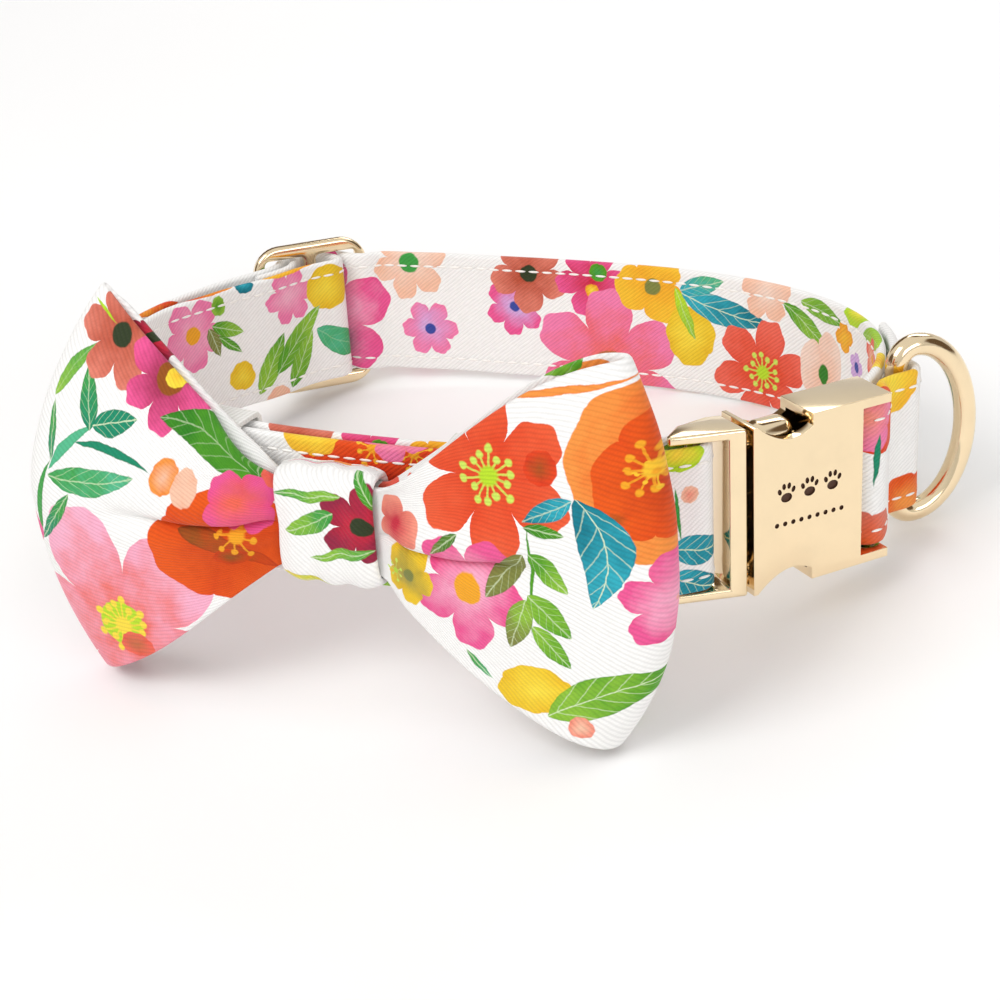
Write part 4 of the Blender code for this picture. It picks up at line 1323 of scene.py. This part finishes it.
# Left wing, then right wing: X along the bow and Y up from its middle
BOW_CHART = (
    flower(-38.6, -21.0, 22.5, 5, 0.5, 0.55, CORAL, PINK_PALE, 0.2, LIME),
    stamens(-38.6, -21.2, 5.4, 15, 0.35, YELLOW, YELLOW),
    dot(-36.4, -24.6, 3.6, TAN, CORAL, 1.5),
    flower(-17.8, -4.0, 12.8, 3, 0.7, 0.12, ORANGE_DEEP, ORANGE, 0.0, ORANGE, 1.35),
    leaf(-25.5, -2.0, -9.5, -8.0, 3.0, BROWN, ORANGE_DEEP, 1.0, 0.0),
    dot(-16.5, -5.6, 3.0, BROWN, ORANGE_DEEP, 2.0),
    stamens(-15.4, -2.2, 3.6, 9, 0.34, AMBER, AMBER),
    stalk(-54.4, -8.5, -50.2, 6.4, 1.7, GREEN, 1.0),
    stalk(-50.6, 4.4, -41.6, 12.6, 2.0, TEAL_PALE, 1.0),
    stalk(-45.5, 9.6, -29.6, 6.8, 1.6, TEAL, 1.0),
    leaf(-42.6, 11.6, -44.2, 21.2, 3.7, TEAL, GREEN),
    leaf(-42.2, 12.4, -33.6, 14.2, 4.4, TEAL, TEAL, 0.0, 0.8),
    leaf(-50.8, 3.6, -32.6, 6.0, 4.6, GREEN, TEAL_PALE, -0.8),
    leaf(-50.2, 6.0, -50.6, 15.4, 1.9, TEAL, GREEN),
    leaf(-46.0, 1.6, -54.6, -9.0, 2.6, GREEN, TEAL),
    leaf(-50.8, 15.6, -43.0, 24.6, 2.6, LEAF_PALE, GREEN, 0.6, 0.2),
    flower(-38.4, 26.2, 8.4, 6, 0.2, 0.5, RUST, RUST_PALE, 0.22, DARK),
    stalk(-45.0, 31.0, -39.4, 27.4, 0.7, LIME),
    flower(-28.6, 20.6, 8.4, 6, 0.62, 0.5, WINE, MAGENTA, 0.3, BROWN),
    dot(-27.6, 20.7, 1.8, GOLDEN, YELLOW),
    dot(-20.9, 22.2, 2.3, GREEN, LEAF),
    leaf(-11.4, 7.4, -29.6, 15.0, 6.6, LEAF, LEAF_DEEP, -1.7, 0.4),
    leaf(-11.4, 7.0, -9.4, 17.8, 5.4, LEAF_DEEP, LEAF, 0.7, 0.4),
    dot(-27.2, 6.6, 2.5, PEACH, ORANGE_PALE, 0.9),
    dot(-23.4, 5.2, 2.3, PEACH, PEACH, 0.8),
    flower(-14.4, 3.2, 5.8, 4, 0.9, 0.3, CORAL, MAGENTA),
    flower(-7.6, 8.6, 3.6, 3, 0.4, 0.3, CRIMSON, CORAL),
    leaf(-6.0, -6.0, -15.5, -13.5, 1.8, AQUA, TEAL_PALE, 0.0, 0.2),
    stalk(-40.0, 31.4, -24.0, 23.8, 1.5, WINE),
    stalk(-22.0, 22.2, -10.0, 12.4, 1.2, AMBER),
    # Right wing
    stalk(30.0, 26.0, 53.0, 30.6, 1.4, ORANGE_PALE),
    flower(30.4, 14.2, 13.4, 6, 0.42, 0.56, SCARLET, dye(236, 92, 52), 0.0, SCARLET),
    dot(38.6, 16.6, 2.8, BROWN, SCARLET, 1.0),
    stamens(30.2, 14.2, 4.7, 14, 0.36, LIME_PALE, LIME),
    flower(56.0, 17.4, 13.6, 3, 1.3, 0.12, ORANGE, ORANGE_PALE, 0.0, ORANGE, 0.94),
    flower(56.6, 16.0, 10.4, 3, 0.7, 0.2, ORANGE_DEEP, ORANGE, 0.0, ORANGE, 0.98),
    dot(50.0, 10.0, 2.6, BROWN, ORANGE, 1.7),
    stamens(54.6, 17.4, 4.4, 11, 0.3, AMBER, GOLDEN),
    stamens(54.9, 17.0, 2.6, 7, 0.2, GOLDEN, AMBER),
    leaf(44.0, 12.6, 46.4, -4.4, 8.6, AQUA_DEEP, AQUA, 3.6, 0.8),
    leaf(43.6, 12.2, 35.6, 8.2, 3.4, AQUA, AQUA_DEEP),
    flower(26.4, -4.2, 9.8, 5, 0.25, 0.5, PINK_PALE, MAGENTA, 0.24, AMBER),
    flower(15.4, -4.6, 4.8, 5, 0.2, 0.3, OLIVE, YELLOW_DEEP, 0.2, OLIVE),
    stamens(12.4, -4.8, 2.0, 7, 0.3, LIME_PALE, LIME),
    flower(13.8, 3.6, 4.6, 3, 0.0, 0.4, CRIMSON, CORAL_PALE),
    stalk(36.4, 8.0, 36.6, -11.0, 0.8, LEAF, 0.4),
    leaf(36.4, 3.4, 42.6, -2.6, 4.0, LEAF, LEAF_PALE),
    leaf(36.2, -3.4, 42.9, -9.8, 4.5, LEAF_PALE, LEAF),
    leaf(36.8, -8.4, 42.8, -15.0, 3.6, LEAF_PALE, LEAF),
    leaf(36.0, -4.2, 33.2, -12.6, 4.4, LEAF_PALE, OLIVE),
    leaf(35.6, 3.2, 29.4, -4.8, 4.4, OLIVE, OLIVE),
    leaf(35.8, 7.4, 42.4, 6.6, 2.2, LEAF_DEEP, LEAF),
    leaf(25.2, 5.0, 20.0, 1.0, 2.0, LEAF_DEEP, OLIVE),
    flower(58.4, -3.6, 8.4, 6, 0.3, 0.42, PINK_PALE, MAGENTA, 0.17, AMBER),
    dot(36.8, -19.4, 6.4, YELLOW, YELLOW_DEEP, 1.5),
    leaf(38.4, -23.8, 57.4, -15.6, 7.0, LEAF_PALE, LEAF, 0.8, 0.8),
    dot(43.6, -25.2, 2.0, PEACH, CORAL_PALE),
    leaf(50.8, -31.8, 57.6, -20.0, 3.2, GREEN, LEAF_PALE),
    leaf(25.4, -14.4, 29.9, -18.8, 1.4, GREEN, TEAL_PALE),
    # Back of the left wing, then of the right
    flower(-64.0, 26.0, 9.0, 6, 0.2, 0.45, CRIMSON, WINE, 0.2, DARK),
    leaf(-70.0, 30.5, -84.0, 25.0, 4.4, AMBER, GOLDEN, 0.0, 0.1),
    flower(-78.0, 27.0, 7.0, 5, 0.6, 0.45, WINE, CRIMSON, 0.2, GOLDEN),
    leaf(-84.0, 25.5, -97.0, 16.0, 5.4, AMBER, YELLOW, 0.0, 0.1),
    leaf(-96.0, 18.0, -108.0, 9.0, 5.0, LEAF_PALE, AMBER),
    flower(-66.0, -6.0, 12.0, 5, 0.2, 0.5, PINK_PALE, MAGENTA, 0.2, AMBER),
    leaf(-74.0, 4.0, -84.0, 14.0, 5.0, TEAL, GREEN),
    flower(-84.0, -14.0, 10.0, 6, 0.3, 0.5, ORANGE, CORAL, 0.2, GOLDEN),
    flower(-102.0, -4.0, 9.0, 6, 0.1, 0.5, CORAL, MAGENTA, 0.2, LIME),
    leaf(60.0, 31.0, 75.0, 29.0, 5.0, LEAF, LEAF_PALE, 0.0, 0.3),
    leaf(73.0, 31.0, 90.0, 23.0, 5.0, ORANGE, RUST_PALE, 0.0, 0.1),
    leaf(88.0, 24.5, 106.0, 12.0, 5.0, AMBER, ORANGE, 0.0, 0.1),
    flower(70.0, 10.0, 10.0, 6, 0.4, 0.5, ORANGE_DEEP, ORANGE, 0.2, GOLDEN),
    flower(84.0, -10.0, 11.0, 5, 0.2, 0.5, PINK_PALE, MAGENTA, 0.2, AMBER),
    leaf(66.0, -22.0, 78.0, -12.0, 6.0, TEAL, GREEN),
    flower(100.0, 2.0, 8.0, 6, 0.1, 0.5, CRIMSON, CORAL, 0.2, LIME),
)

# X across the knot and Y up from its middle
KNOT_CHART = (
    flower(6.6, 1.8, 7.2, 5, 1.2, 0.5, CRIMSON, WINE, 0.24, DARK),
    leaf(3.6, 6.8, -9.0, 6.8, 2.1, LEAF_PALE, GREEN, 0.9),
    leaf(2.0, 3.6, -6.8, -0.6, 3.8, GREEN, LEAF_PALE, 0.3),
    leaf(8.6, -3.2, -3.0, -5.0, 2.2, GREEN, LEAF_PALE, -0.6),
    leaf(9.4, 5.0, 5.4, 10.2, 2.2, LEAF, GREEN),
    leaf(-8.5, -8.8, 1.0, -9.6, 2.0, YELLOW, LEAF_PALE),
    flower(-2.0, 34.0, 5.5, 5, 0.2, 0.4, PINK_PALE, MAGENTA, 0.2, AMBER),
    leaf(-6.0, 52.0, 4.0, 46.0, 3.6, TEAL, GREEN),
    flower(3.0, 58.0, 5.5, 6, 0.2, 0.4, ORANGE, ORANGE_PALE, 0.2, GOLDEN),
)

REPEAT = 313.3  # one repeat of the strap's print
WANDER = 0.24  # how far the printed edges stray
STRAP_SQUARE, BOW_SQUARE, KNOT_SQUARE = 13.0, 11.0, 17.0  # the squares that each cloth is printed in

# X along the strap and Y round it: 0 to 25 up one face, 27 to 52 down the other
STRAP_CHART = (
    # Doubled layer at the left
    flower(61.0, 18.6, 7.4, 5, 0.3, 0.4, PINK_PALE, PINK, 0.24, AMBER),
    leaf(56.5, 19.2, 49.3, 16.2, 3.4, LEAF, LEAF_PALE),
    leaf(55.6, 17.0, 50.0, 12.0, 2.2, LEAF, LEAF),
    leaf(57.2, 19.0, 55.4, 12.6, 3.0, OLIVE, OLIVE),
    dot(54.5, 22.8, 1.7, LEAF, LEAF_PALE, 0.8),
    flower(38.0, 20.6, 5.8, 6, 0.1, 0.4, PINK_PALE, PINK),
    dot(29.0, 20.4, 4.8, YELLOW, YELLOW_DEEP),
    dot(50.8, 7.2, 3.1, YELLOW, YELLOW_DEEP),
    leaf(47.2, 2.2, 40.4, 13.8, 4.6, LEAF_PALE, LEAF),
    leaf(43.0, 5.6, 30.8, 17.0, 5.0, LEAF, LEAF_PALE),
    leaf(39.8, 1.6, 33.0, 12.2, 4.6, LEAF, LEAF_PALE),
    leaf(32.2, 12.2, 20.0, 5.0, 5.6, TEAL_PALE, GREEN, 0.6, 0.2),
    dot(43.0, 0.0, 3.0, PEACH, PEACH),
    dot(48.0, 25.6, 2.0, AQUA, AQUA_DEEP),
    leaf(64.0, 27.2, 50.0, 25.8, 2.6, SCARLET, AMBER, 0.0, 0.0),
    leaf(44.0, 26.2, 30.0, 26.4, 3.0, GOLDEN, AMBER, 0.0, 0.0),
    flower(76.0, 10.0, 7.0, 6, 0.1, 0.45, CORAL, ORANGE_PALE, 0.2, GOLDEN),
    leaf(92.0, 4.0, 82.0, 18.0, 5.0, AQUA, AQUA_DEEP),
    flower(101.0, 16.0, 7.0, 6, 0.1, 0.45, CRIMSON, PINK, 0.24, DARK),
    dot(112.0, 6.0, 4.6, YELLOW, AMBER),
    # Front, by the knot, and round the plug's bar
    flower(272.0, 27.0, 14.0, 3, 0.5, 0.16, ORANGE, SCARLET, 0.0, ORANGE, 1.7),
    stamens(270.5, 25.0, 3.4, 9, 0.3, GOLDEN, AMBER),
    stamens(263.5, 24.6, 3.0, 8, 0.3, GOLDEN, AMBER),
    leaf(286.0, 0.6, 272.0, 2.6, 3.0, YELLOW_DEEP, LIME, 0.0, 0.2),
    leaf(274.0, 1.0, 262.0, 2.0, 3.0, LIME, GREEN, 0.0, 0.2),
    dot(264.0, 3.0, 2.2, TEAL, AQUA),
    flower(240.0, 13.0, 8.0, 6, 0.3, 0.45, PINK_PALE, PINK, 0.2, AMBER),
    dot(222.6, 25.2, 4.2, YELLOW, LIME, 1.2),
    stalk(223.2, 19.6, 222.2, 9.6, 0.9, GREEN),
    dot(220.8, 17.9, 1.5, CORAL_PALE, PEACH),
    leaf(224.2, 9.2, 214.6, 7.8, 5.4, AQUA, AQUA_DEEP, 0.4, 0.9),
    leaf(224.0, 4.2, 215.4, 0.6, 5.4, AQUA, AQUA_DEEP, 0.4, 0.9),
    flower(203.0, 12.0, 7.5, 6, 0.3, 0.45, ORANGE, CORAL, 0.2, LIME),
    leaf(190.0, 4.0, 180.0, 16.0, 4.6, LEAF, LEAF_PALE),
    flower(168.0, 13.0, 8.0, 5, 0.3, 0.45, PINK_PALE, MAGENTA, 0.2, AMBER),
    leaf(150.0, 20.0, 158.0, 6.0, 4.6, TEAL, GREEN),
    flower(136.0, 12.0, 7.0, 6, 0.3, 0.45, GOLDEN, AMBER, 0.22, BROWN),
    leaf(84.0, 24.0, 94.0, 22.0, 3.4, LEAF, LEAF_PALE),
    dot(88.0, 2.0, 2.6, PEACH, CORAL),
    leaf(108.0, 22.0, 118.0, 16.0, 4.6, TEAL, TEAL_PALE),
    flower(122.0, 9.0, 9.6, 5, 0.2, 0.5, CORAL, PINK, 0.2, AMBER),
    leaf(112.0, 12.0, 104.0, 3.0, 3.4, LEAF_PALE, LEAF),
    flower(146.0, 6.0, 5.2, 6, 0.1, 0.42, LILAC, PINK, 0.2, BLUE),
    leaf(176.0, 22.0, 186.0, 21.0, 4.0, LIME, LEAF_PALE),
    flower(178.0, 4.0, 6.0, 5, 0.4, 0.42, PEACH_PALE, PEACH, 0.25, GREEN),
    leaf(194.0, 21.0, 184.0, 14.0, 4.0, AQUA, AQUA_DEEP),
    dot(196.0, 4.0, 4.2, YELLOW, AMBER),
    leaf(228.0, 22.0, 238.0, 24.0, 3.6, LEAF, LEAF_PALE),
    flower(252.0, 8.0, 6.4, 6, 0.2, 0.45, SCARLET, CORAL, 0.2, LIME),
    leaf(246.0, 20.0, 254.0, 17.0, 3.4, TEAL, GREEN),
    # Other face of the doubled layer
    flower(10.0, 38.0, 10.0, 5, 0.3, 0.5, PINK_PALE, MAGENTA, 0.2, AMBER),
    leaf(20.0, 46.0, 30.0, 36.0, 5.0, LEAF, LEAF_PALE),
    flower(42.0, 40.0, 8.0, 6, 0.3, 0.5, ORANGE, CORAL, 0.2, LIME),
    leaf(52.0, 34.0, 62.0, 44.0, 5.0, AQUA, AQUA_DEEP),
    flower(74.0, 38.0, 8.0, 6, 0.3, 0.45, CRIMSON, WINE, 0.22, DARK),
    dot(86.0, 46.0, 4.6, YELLOW, AMBER),
    # Single layer round the back
    flower(104.6, 39.4, 13.6, 5, 0.35, 0.5, PINK_PALE, MAGENTA),
    flower(122.4, 28.4, 8.0, 6, 0.3, 0.45, PEACH_PALE, PEACH, 0.27, GREEN),
    flower(126.0, 42.4, 6.0, 6, 0.0, 0.42, LILAC, PINK, 0.2, BLUE),
    flower(144.6, 36.6, 6.2, 6, 0.4, 0.42, LILAC, MAGENTA, 0.19, BLUE),
    flower(147.8, 29.6, 8.2, 5, 0.9, 0.45, RUST, RUST_PALE, 0.22, DARK),
    flower(161.0, 30.4, 7.6, 6, 0.1, 0.5, CRIMSON, MAGENTA),
    dot(162.4, 28.4, 1.9, GREEN, LEAF),
    dot(161.0, 32.4, 1.5, YELLOW, AMBER),
    flower(164.0, 47.6, 16.0, 6, 0.5, 0.5, CORAL, PINK, 0.2, TAN),
    flower(173.6, 30.4, 7.8, 3, 1.2, 0.4, AMBER, GOLDEN, 0.22, OLIVE),
    dot(181.6, 39.6, 5.4, YELLOW, YELLOW_DEEP, 0.86),
    leaf(178.4, 30.0, 182.6, 40.4, 2.7, LIME, LEAF_PALE, 0.0, 0.3),
    leaf(179.6, 31.0, 199.0, 34.6, 6.0, AQUA, AQUA_DEEP, 1.0, 0.8),
    leaf(179.4, 30.6, 189.0, 27.4, 4.0, AQUA, TEAL_PALE),
    flower(197.6, 44.6, 11.2, 6, 0.3, 0.52, SCARLET, CORAL),
    stamens(197.6, 44.4, 4.2, 13, 0.34, LIME_PALE, LIME),
    flower(198.4, 28.4, 5.8, 5, 0.3, 0.4, PEACH_PALE, PEACH),
    leaf(202.4, 29.4, 214.6, 36.0, 4.0, LEAF, LEAF_PALE),
    leaf(206.6, 28.0, 219.0, 29.8, 4.0, LEAF_PALE, LEAF),
    flower(213.0, 41.0, 6.4, 3, 0.9, 0.4, PEACH, PEACH_PALE, 0.22, LEAF_DEEP, 0.7),
    flower(219.4, 31.8, 3.0, 4, 0.2, 0.35, GOLDEN, AMBER),
    flower(224.2, 36.0, 2.8, 5, 0.2, 0.35, LILAC, LILAC, 0.35, BLUE),
    dot(220.4, 42.0, 2.4, AMBER, ORANGE_PALE),
    leaf(224.0, 48.0, 232.0, 40.0, 3.4, TEAL_PALE, GREEN),
    flower(240.0, 38.0, 7.6, 6, 0.2, 0.45, CORAL, CORAL_PALE, 0.2, GOLDEN),
    leaf(227.0, 28.5, 240.0, 26.5, 4.0, LEAF_PALE, LIME, 0.0, 0.2),
    flower(233.0, 31.5, 4.2, 5, 0.2, 0.4, PEACH, CORAL, 0.2, AMBER),
    dot(246.0, 28.0, 4.0, AMBER, YELLOW),
    flower(233.0, 47.5, 4.6, 6, 0.2, 0.4, LILAC, PINK, 0.2, BLUE),
    leaf(247.0, 44.0, 252.0, 30.0, 4.0, TEAL, GREEN),
    leaf(252.0, 48.0, 258.0, 34.0, 4.4, LEAF, LEAF_PALE),
    # Round the socket's bar and the D-ring
    flower(267.0, 29.0, 6.2, 5, 0.2, 0.3, CORAL_PALE, PINK),
    stalk(269.4, 31.6, 268.6, 41.0, 1.2, TEAL),
    flower(268.0, 51.0, 6.4, 3, 0.4, 0.2, ORANGE, RUST_PALE, 0.0, ORANGE),
    dot(281.6, 27.6, 5.4, YELLOW, GOLDEN),
    flower(285.6, 50.4, 6.4, 3, 0.3, 0.2, ORANGE_PALE, ORANGE, 0.0, ORANGE),
    leaf(296.0, 34.0, 306.0, 44.0, 4.4, AQUA, AQUA_DEEP),
)


def paint(n, groups, spot, chart):
    """The whole chart over white cloth, one motif after another."""
    place, wash, grain = spot
    colour = WHITE
    for kind, values in chart:
        values = dict(values)
        if kind != "stamens":
            values["Wash"] = wash
        colour = n.group(groups[kind], Under=colour, Place=place, **values)[0]
    return n.mix(1.0, colour, n.grey(n.plus(0.93, n.times(grain, 0.12))), "MULTIPLY")


def near_cell(motif, low, size):
    """Whether a motif can reach the square of cloth that starts at low."""
    kind, values = motif
    x, y = values["X"], values["Y"]
    if kind == "leaf":
        spare = values["Width"] + abs(values["Bend"]) + 1.2
        xs = (x, x + values["Length"] * cos(values["Turn"]))
        ys = (y, y + values["Length"] * sin(values["Turn"]))
    else:
        spare = values["Size"] * 1.15 / min(1.0, values.get("Stretch", 1.0)) + 1.2
        xs, ys = (x, x), (y, y)
    inside_x = min(xs) - spare < low[0] + size and max(xs) + spare > low[0]
    return inside_x and min(ys) - spare < low[1] + size and max(ys) + spare > low[1]


def print_material(name, groups, chart, weave_map, weave_turn, pitch, repeat):
    """White twill with this much of the chart printed on it."""
    material, n, shader = new_material(name)
    uv = n.add("ShaderNodeUVMap", uv_map="print").outputs[0]
    weave_uv = uv if weave_map == "print" else n.add("ShaderNodeUVMap", uv_map=weave_map).outputs[0]
    place = uv
    if repeat:
        x, y, _ = n.separate(uv)
        place = n.combine(n.math("FLOORED_MODULO", x, repeat), y)
    warp = n.group(groups["wander"], Place=place, Wander=WANDER)
    twill = n.group(groups["twill"], Place=weave_uv, Turn=weave_turn, Pitch=pitch)
    colour = paint(n, groups, warp, chart)
    # The weave's painted groove shade darkens the printed colour
    shade = n.grey(n.minus(1.0, twill["Shade"]))
    n.feed(shader.inputs["Base Color"], n.mix(1.0, colour, shade, "MULTIPLY"))
    shader.inputs["Roughness"].default_value = 0.82
    shader.inputs["Specular IOR Level"].default_value = 0.25
    shader.inputs["Sheen Weight"].default_value = 0.12
    shader.inputs["Sheen Roughness"].default_value = 0.5
    n.bump(shader, twill["Height"], 0.45, 0.00016)
    return material


def dress_in_print(obj, name, groups, chart, cell, weave_map, weave_turn, pitch, repeat=0.0):
    """Prints the cloth one square at a time, each with only the motifs that reach it."""
    mesh = obj.data
    mesh.materials.clear()
    layer = mesh.uv_layers["print"].data
    slots = {}
    for face in mesh.polygons:
        corners = [layer[k].uv for k in face.loop_indices]
        x = sum(uv.x for uv in corners) / len(corners)
        y = sum(uv.y for uv in corners) / len(corners)
        if repeat:
            x %= repeat
        square = (floor(x / cell), floor(y / cell))
        if square not in slots:
            low = (square[0] * cell, square[1] * cell)
            here = tuple(k for k, motif in enumerate(chart) if near_cell(motif, low, cell))
            same = next((slot for found, slot in slots.values() if found == here), None)
            if same is None:
                same = len(mesh.materials)
                motifs = [chart[k] for k in here]
                title = f"{name}_{same + 1}"
                mesh.materials.append(
                    print_material(title, groups, motifs, weave_map, weave_turn, pitch, repeat)
                )
            slots[square] = (here, same)
        face.material_index = slots[square][1]


def thread_material():
    material, n, shader = new_material("white_thread")
    at = n.add("ShaderNodeTexCoord").outputs["Object"]
    twist = n.noise(at, 2600.0, 2.0)
    n.feed(shader.inputs["Base Color"], n.mix(twist, dye(236, 232, 226), dye(252, 251, 248)))
    shader.inputs["Roughness"].default_value = 0.7
    n.bump(shader, twist, 0.4, 0.00008)
    return material


def elastic_material():
    material, n, shader = new_material("white_elastic")
    uv = n.add("ShaderNodeUVMap", uv_map="print").outputs[0]
    x, y, _ = n.separate(uv)
    ribs = n.plus(0.5, n.times(n.math("SINE", n.times(x, 2 * pi / 0.9)), 0.5))
    picks = n.plus(0.5, n.times(n.math("SINE", n.times(y, 2 * pi / 0.7)), 0.5))
    height = n.plus(n.times(ribs, 0.7), n.times(picks, 0.3))
    fuzz = n.noise(uv, 3.0, 2.0)
    # Painted shade: the grooves between the ribs and picks are darker, with random fuzz tone on top
    tone = n.plus(n.times(height, 0.7), n.times(fuzz, 0.3))
    n.feed(shader.inputs["Base Color"], n.mix(tone, dye(214, 212, 206), dye(246, 245, 241)))
    shader.inputs["Roughness"].default_value = 0.85
    n.bump(shader, height, 0.6, 0.0002)
    return material


def make_polish():
    """Marks of handling on polished metal: faint smears and hairlines."""
    tree, n, i, o = new_group("polish_marks", ("Place:v",), ("Smear:f", "Hairline:f"))
    smear = n.noise(i["Place"], 160.0, 4.0, 0.6)
    n.feed(o["Smear"], n.step(smear, 0.35, 0.75))
    streak = n.add("ShaderNodeMapping")
    n.feed(streak.inputs["Vector"], i["Place"])
    streak.inputs["Scale"].default_value = (900.0, 900.0, 9000.0)
    streak.inputs["Rotation"].default_value = (0.2, 0.1, 0.6)
    n.feed(o["Hairline"], n.noise(streak.outputs[0], 1.0, 2.0))
    return tree


GOLD = (246, 224, 186)
GOLD_ROUGHNESS = 0.1


def gold_material(name, groups):
    material, n, shader = new_material(name)
    at = n.add("ShaderNodeTexCoord").outputs["Object"]
    marks = n.group(groups["polish"], Place=at)
    deep = tuple(c * 0.9 for c in GOLD)
    n.feed(shader.inputs["Base Color"], n.mix(n.times(marks["Smear"], 0.2), dye(*GOLD), dye(*deep)))
    worn = n.plus(GOLD_ROUGHNESS, n.times(marks["Smear"], 0.025))
    n.feed(shader.inputs["Roughness"], worn)
    shader.inputs["Metallic"].default_value = 1.0
    n.bump(shader, marks["Hairline"], 0.04, 0.00002)
    return material


def engraved_material():
    """The burnt brown floor of the engraving."""
    material, n, shader = new_material("engraved_brown")
    at = n.add("ShaderNodeTexCoord").outputs["Object"]
    burn = n.noise(at, 1800.0, 3.0)
    n.feed(shader.inputs["Base Color"], n.mix(burn, dye(60, 36, 24), dye(92, 58, 38)))
    n.feed(shader.inputs["Roughness"], n.plus(0.45, n.times(burn, 0.2)))
    shader.inputs["Metallic"].default_value = 0.3
    n.bump(shader, burn, 0.3, 0.00003)
    return material


def floor_material():
    material, n, shader = new_material("pale_floor")
    at = n.add("ShaderNodeTexCoord").outputs["Object"]
    n.feed(shader.inputs["Base Color"], n.mix(n.noise(at, 6.0, 3.0), dye(246, 246, 246), dye(250, 250, 250)))
    shader.inputs["Roughness"].default_value = 0.9
    shader.inputs["Specular IOR Level"].default_value = 0.1
    return material


def dress(obj, material):
    obj.data.materials.append(material)


# Where the dark flags stand and the cosine of their half width
DARK_FLAGS = (
    ((0.95, 0.25, 0.25), 0.93),
    ((-0.6, 0.75, 0.3), 0.95),
    ((0.2, 0.9, 0.75), 0.965),
    ((-0.95, -0.3, 0.15), 0.94),
)


def light_studio():
    world = bpy.data.worlds.new("studio")
    bpy.context.scene.world = world
    world.use_nodes = True
    n = Nodes(world.node_tree)
    back = world.node_tree.nodes["Background"]
    way = n.add("ShaderNodeTexCoord").outputs["Generated"]
    _, _, up = n.separate(way)
    sky = n.mix(n.step(up, -0.2, 0.9), (0.74, 0.74, 0.75, 1), (1.0, 1.0, 1.0, 1))
    # Dark flags beside the set, which the polished metal picks up
    for toward, wide in DARK_FLAGS:
        facing = n.vector("DOT_PRODUCT", way, Vector(toward).normalized(), out=1)
        sky = n.mix(n.step(facing, wide - 0.05, wide), sky, (0.16, 0.11, 0.07, 1))
    n.feed(back.inputs["Color"], sky)
    back.inputs["Strength"].default_value = 0.82
    add_lamp("key", (-0.35, -0.45, 0.75), (0, 0, 0.02), (0.5, 0.5), 3.3, (1.0, 0.99, 0.975))
    add_lamp("fill", (0.6, -0.5, 0.35), (0, 0, 0.02), (0.5, 0.3), 1.4)
    add_lamp("rim", (0.1, 0.7, 0.5), (0, 0, 0.02), (0.6, 0.25), 1.6)


def main():
    scene = bpy.context.scene
    scene.view_settings.view_transform = "Standard"
    add_camera()
    ground = build_stage()
    groups = {
        "wander": make_warp(),
        "flower": make_flower(),
        "stamens": make_stamens(),
        "leaf": make_leaf(),
        "twill": make_twill(),
        "polish": make_polish(),
    }
    thread = thread_material()
    elastic = elastic_material()
    strap = build_strap()
    stitches = build_stitches()
    bow = build_bow()
    knot = build_knot()
    loops = {side: build_elastic(side) for side in (-1, 1)}
    metal = {
        "slider": build_slider(),
        "d_ring": build_ring(),
        "buckle_plug": build_plug(),
        "buckle_socket": build_socket(),
    }
    dress_in_print(strap, "strap_print", groups, STRAP_CHART, STRAP_SQUARE, "print", 0.9, 0.62, REPEAT)
    dress_in_print(bow, "bow_print", groups, BOW_CHART, BOW_SQUARE, "weave", 1.15, 0.8)
    dress_in_print(knot, "knot_print", groups, KNOT_CHART, KNOT_SQUARE, "print", 0.7, 0.7)
    for obj, material in (
        (stitches, thread),
        (loops[-1], elastic),
        (loops[1], elastic),
        (ground, floor_material()),
    ):
        dress(obj, material)
    for node, obj in metal.items():
        dress(obj, gold_material(node + "_gold", groups))
        if node == "buckle_socket":
            obj.data.materials.append(engraved_material())
        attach(obj, "d_ring" if node == "d_ring" else "collar")
        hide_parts(node)
    for obj in (strap, stitches, bow, knot, loops[-1], loops[1]):
        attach(obj, "collar")
    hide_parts("collar_strap")
    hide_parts("bow_band")
    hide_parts("bow_knot")
    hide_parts("bow_elastic_left")
    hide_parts("bow_elastic_right")
    light_studio()


main()
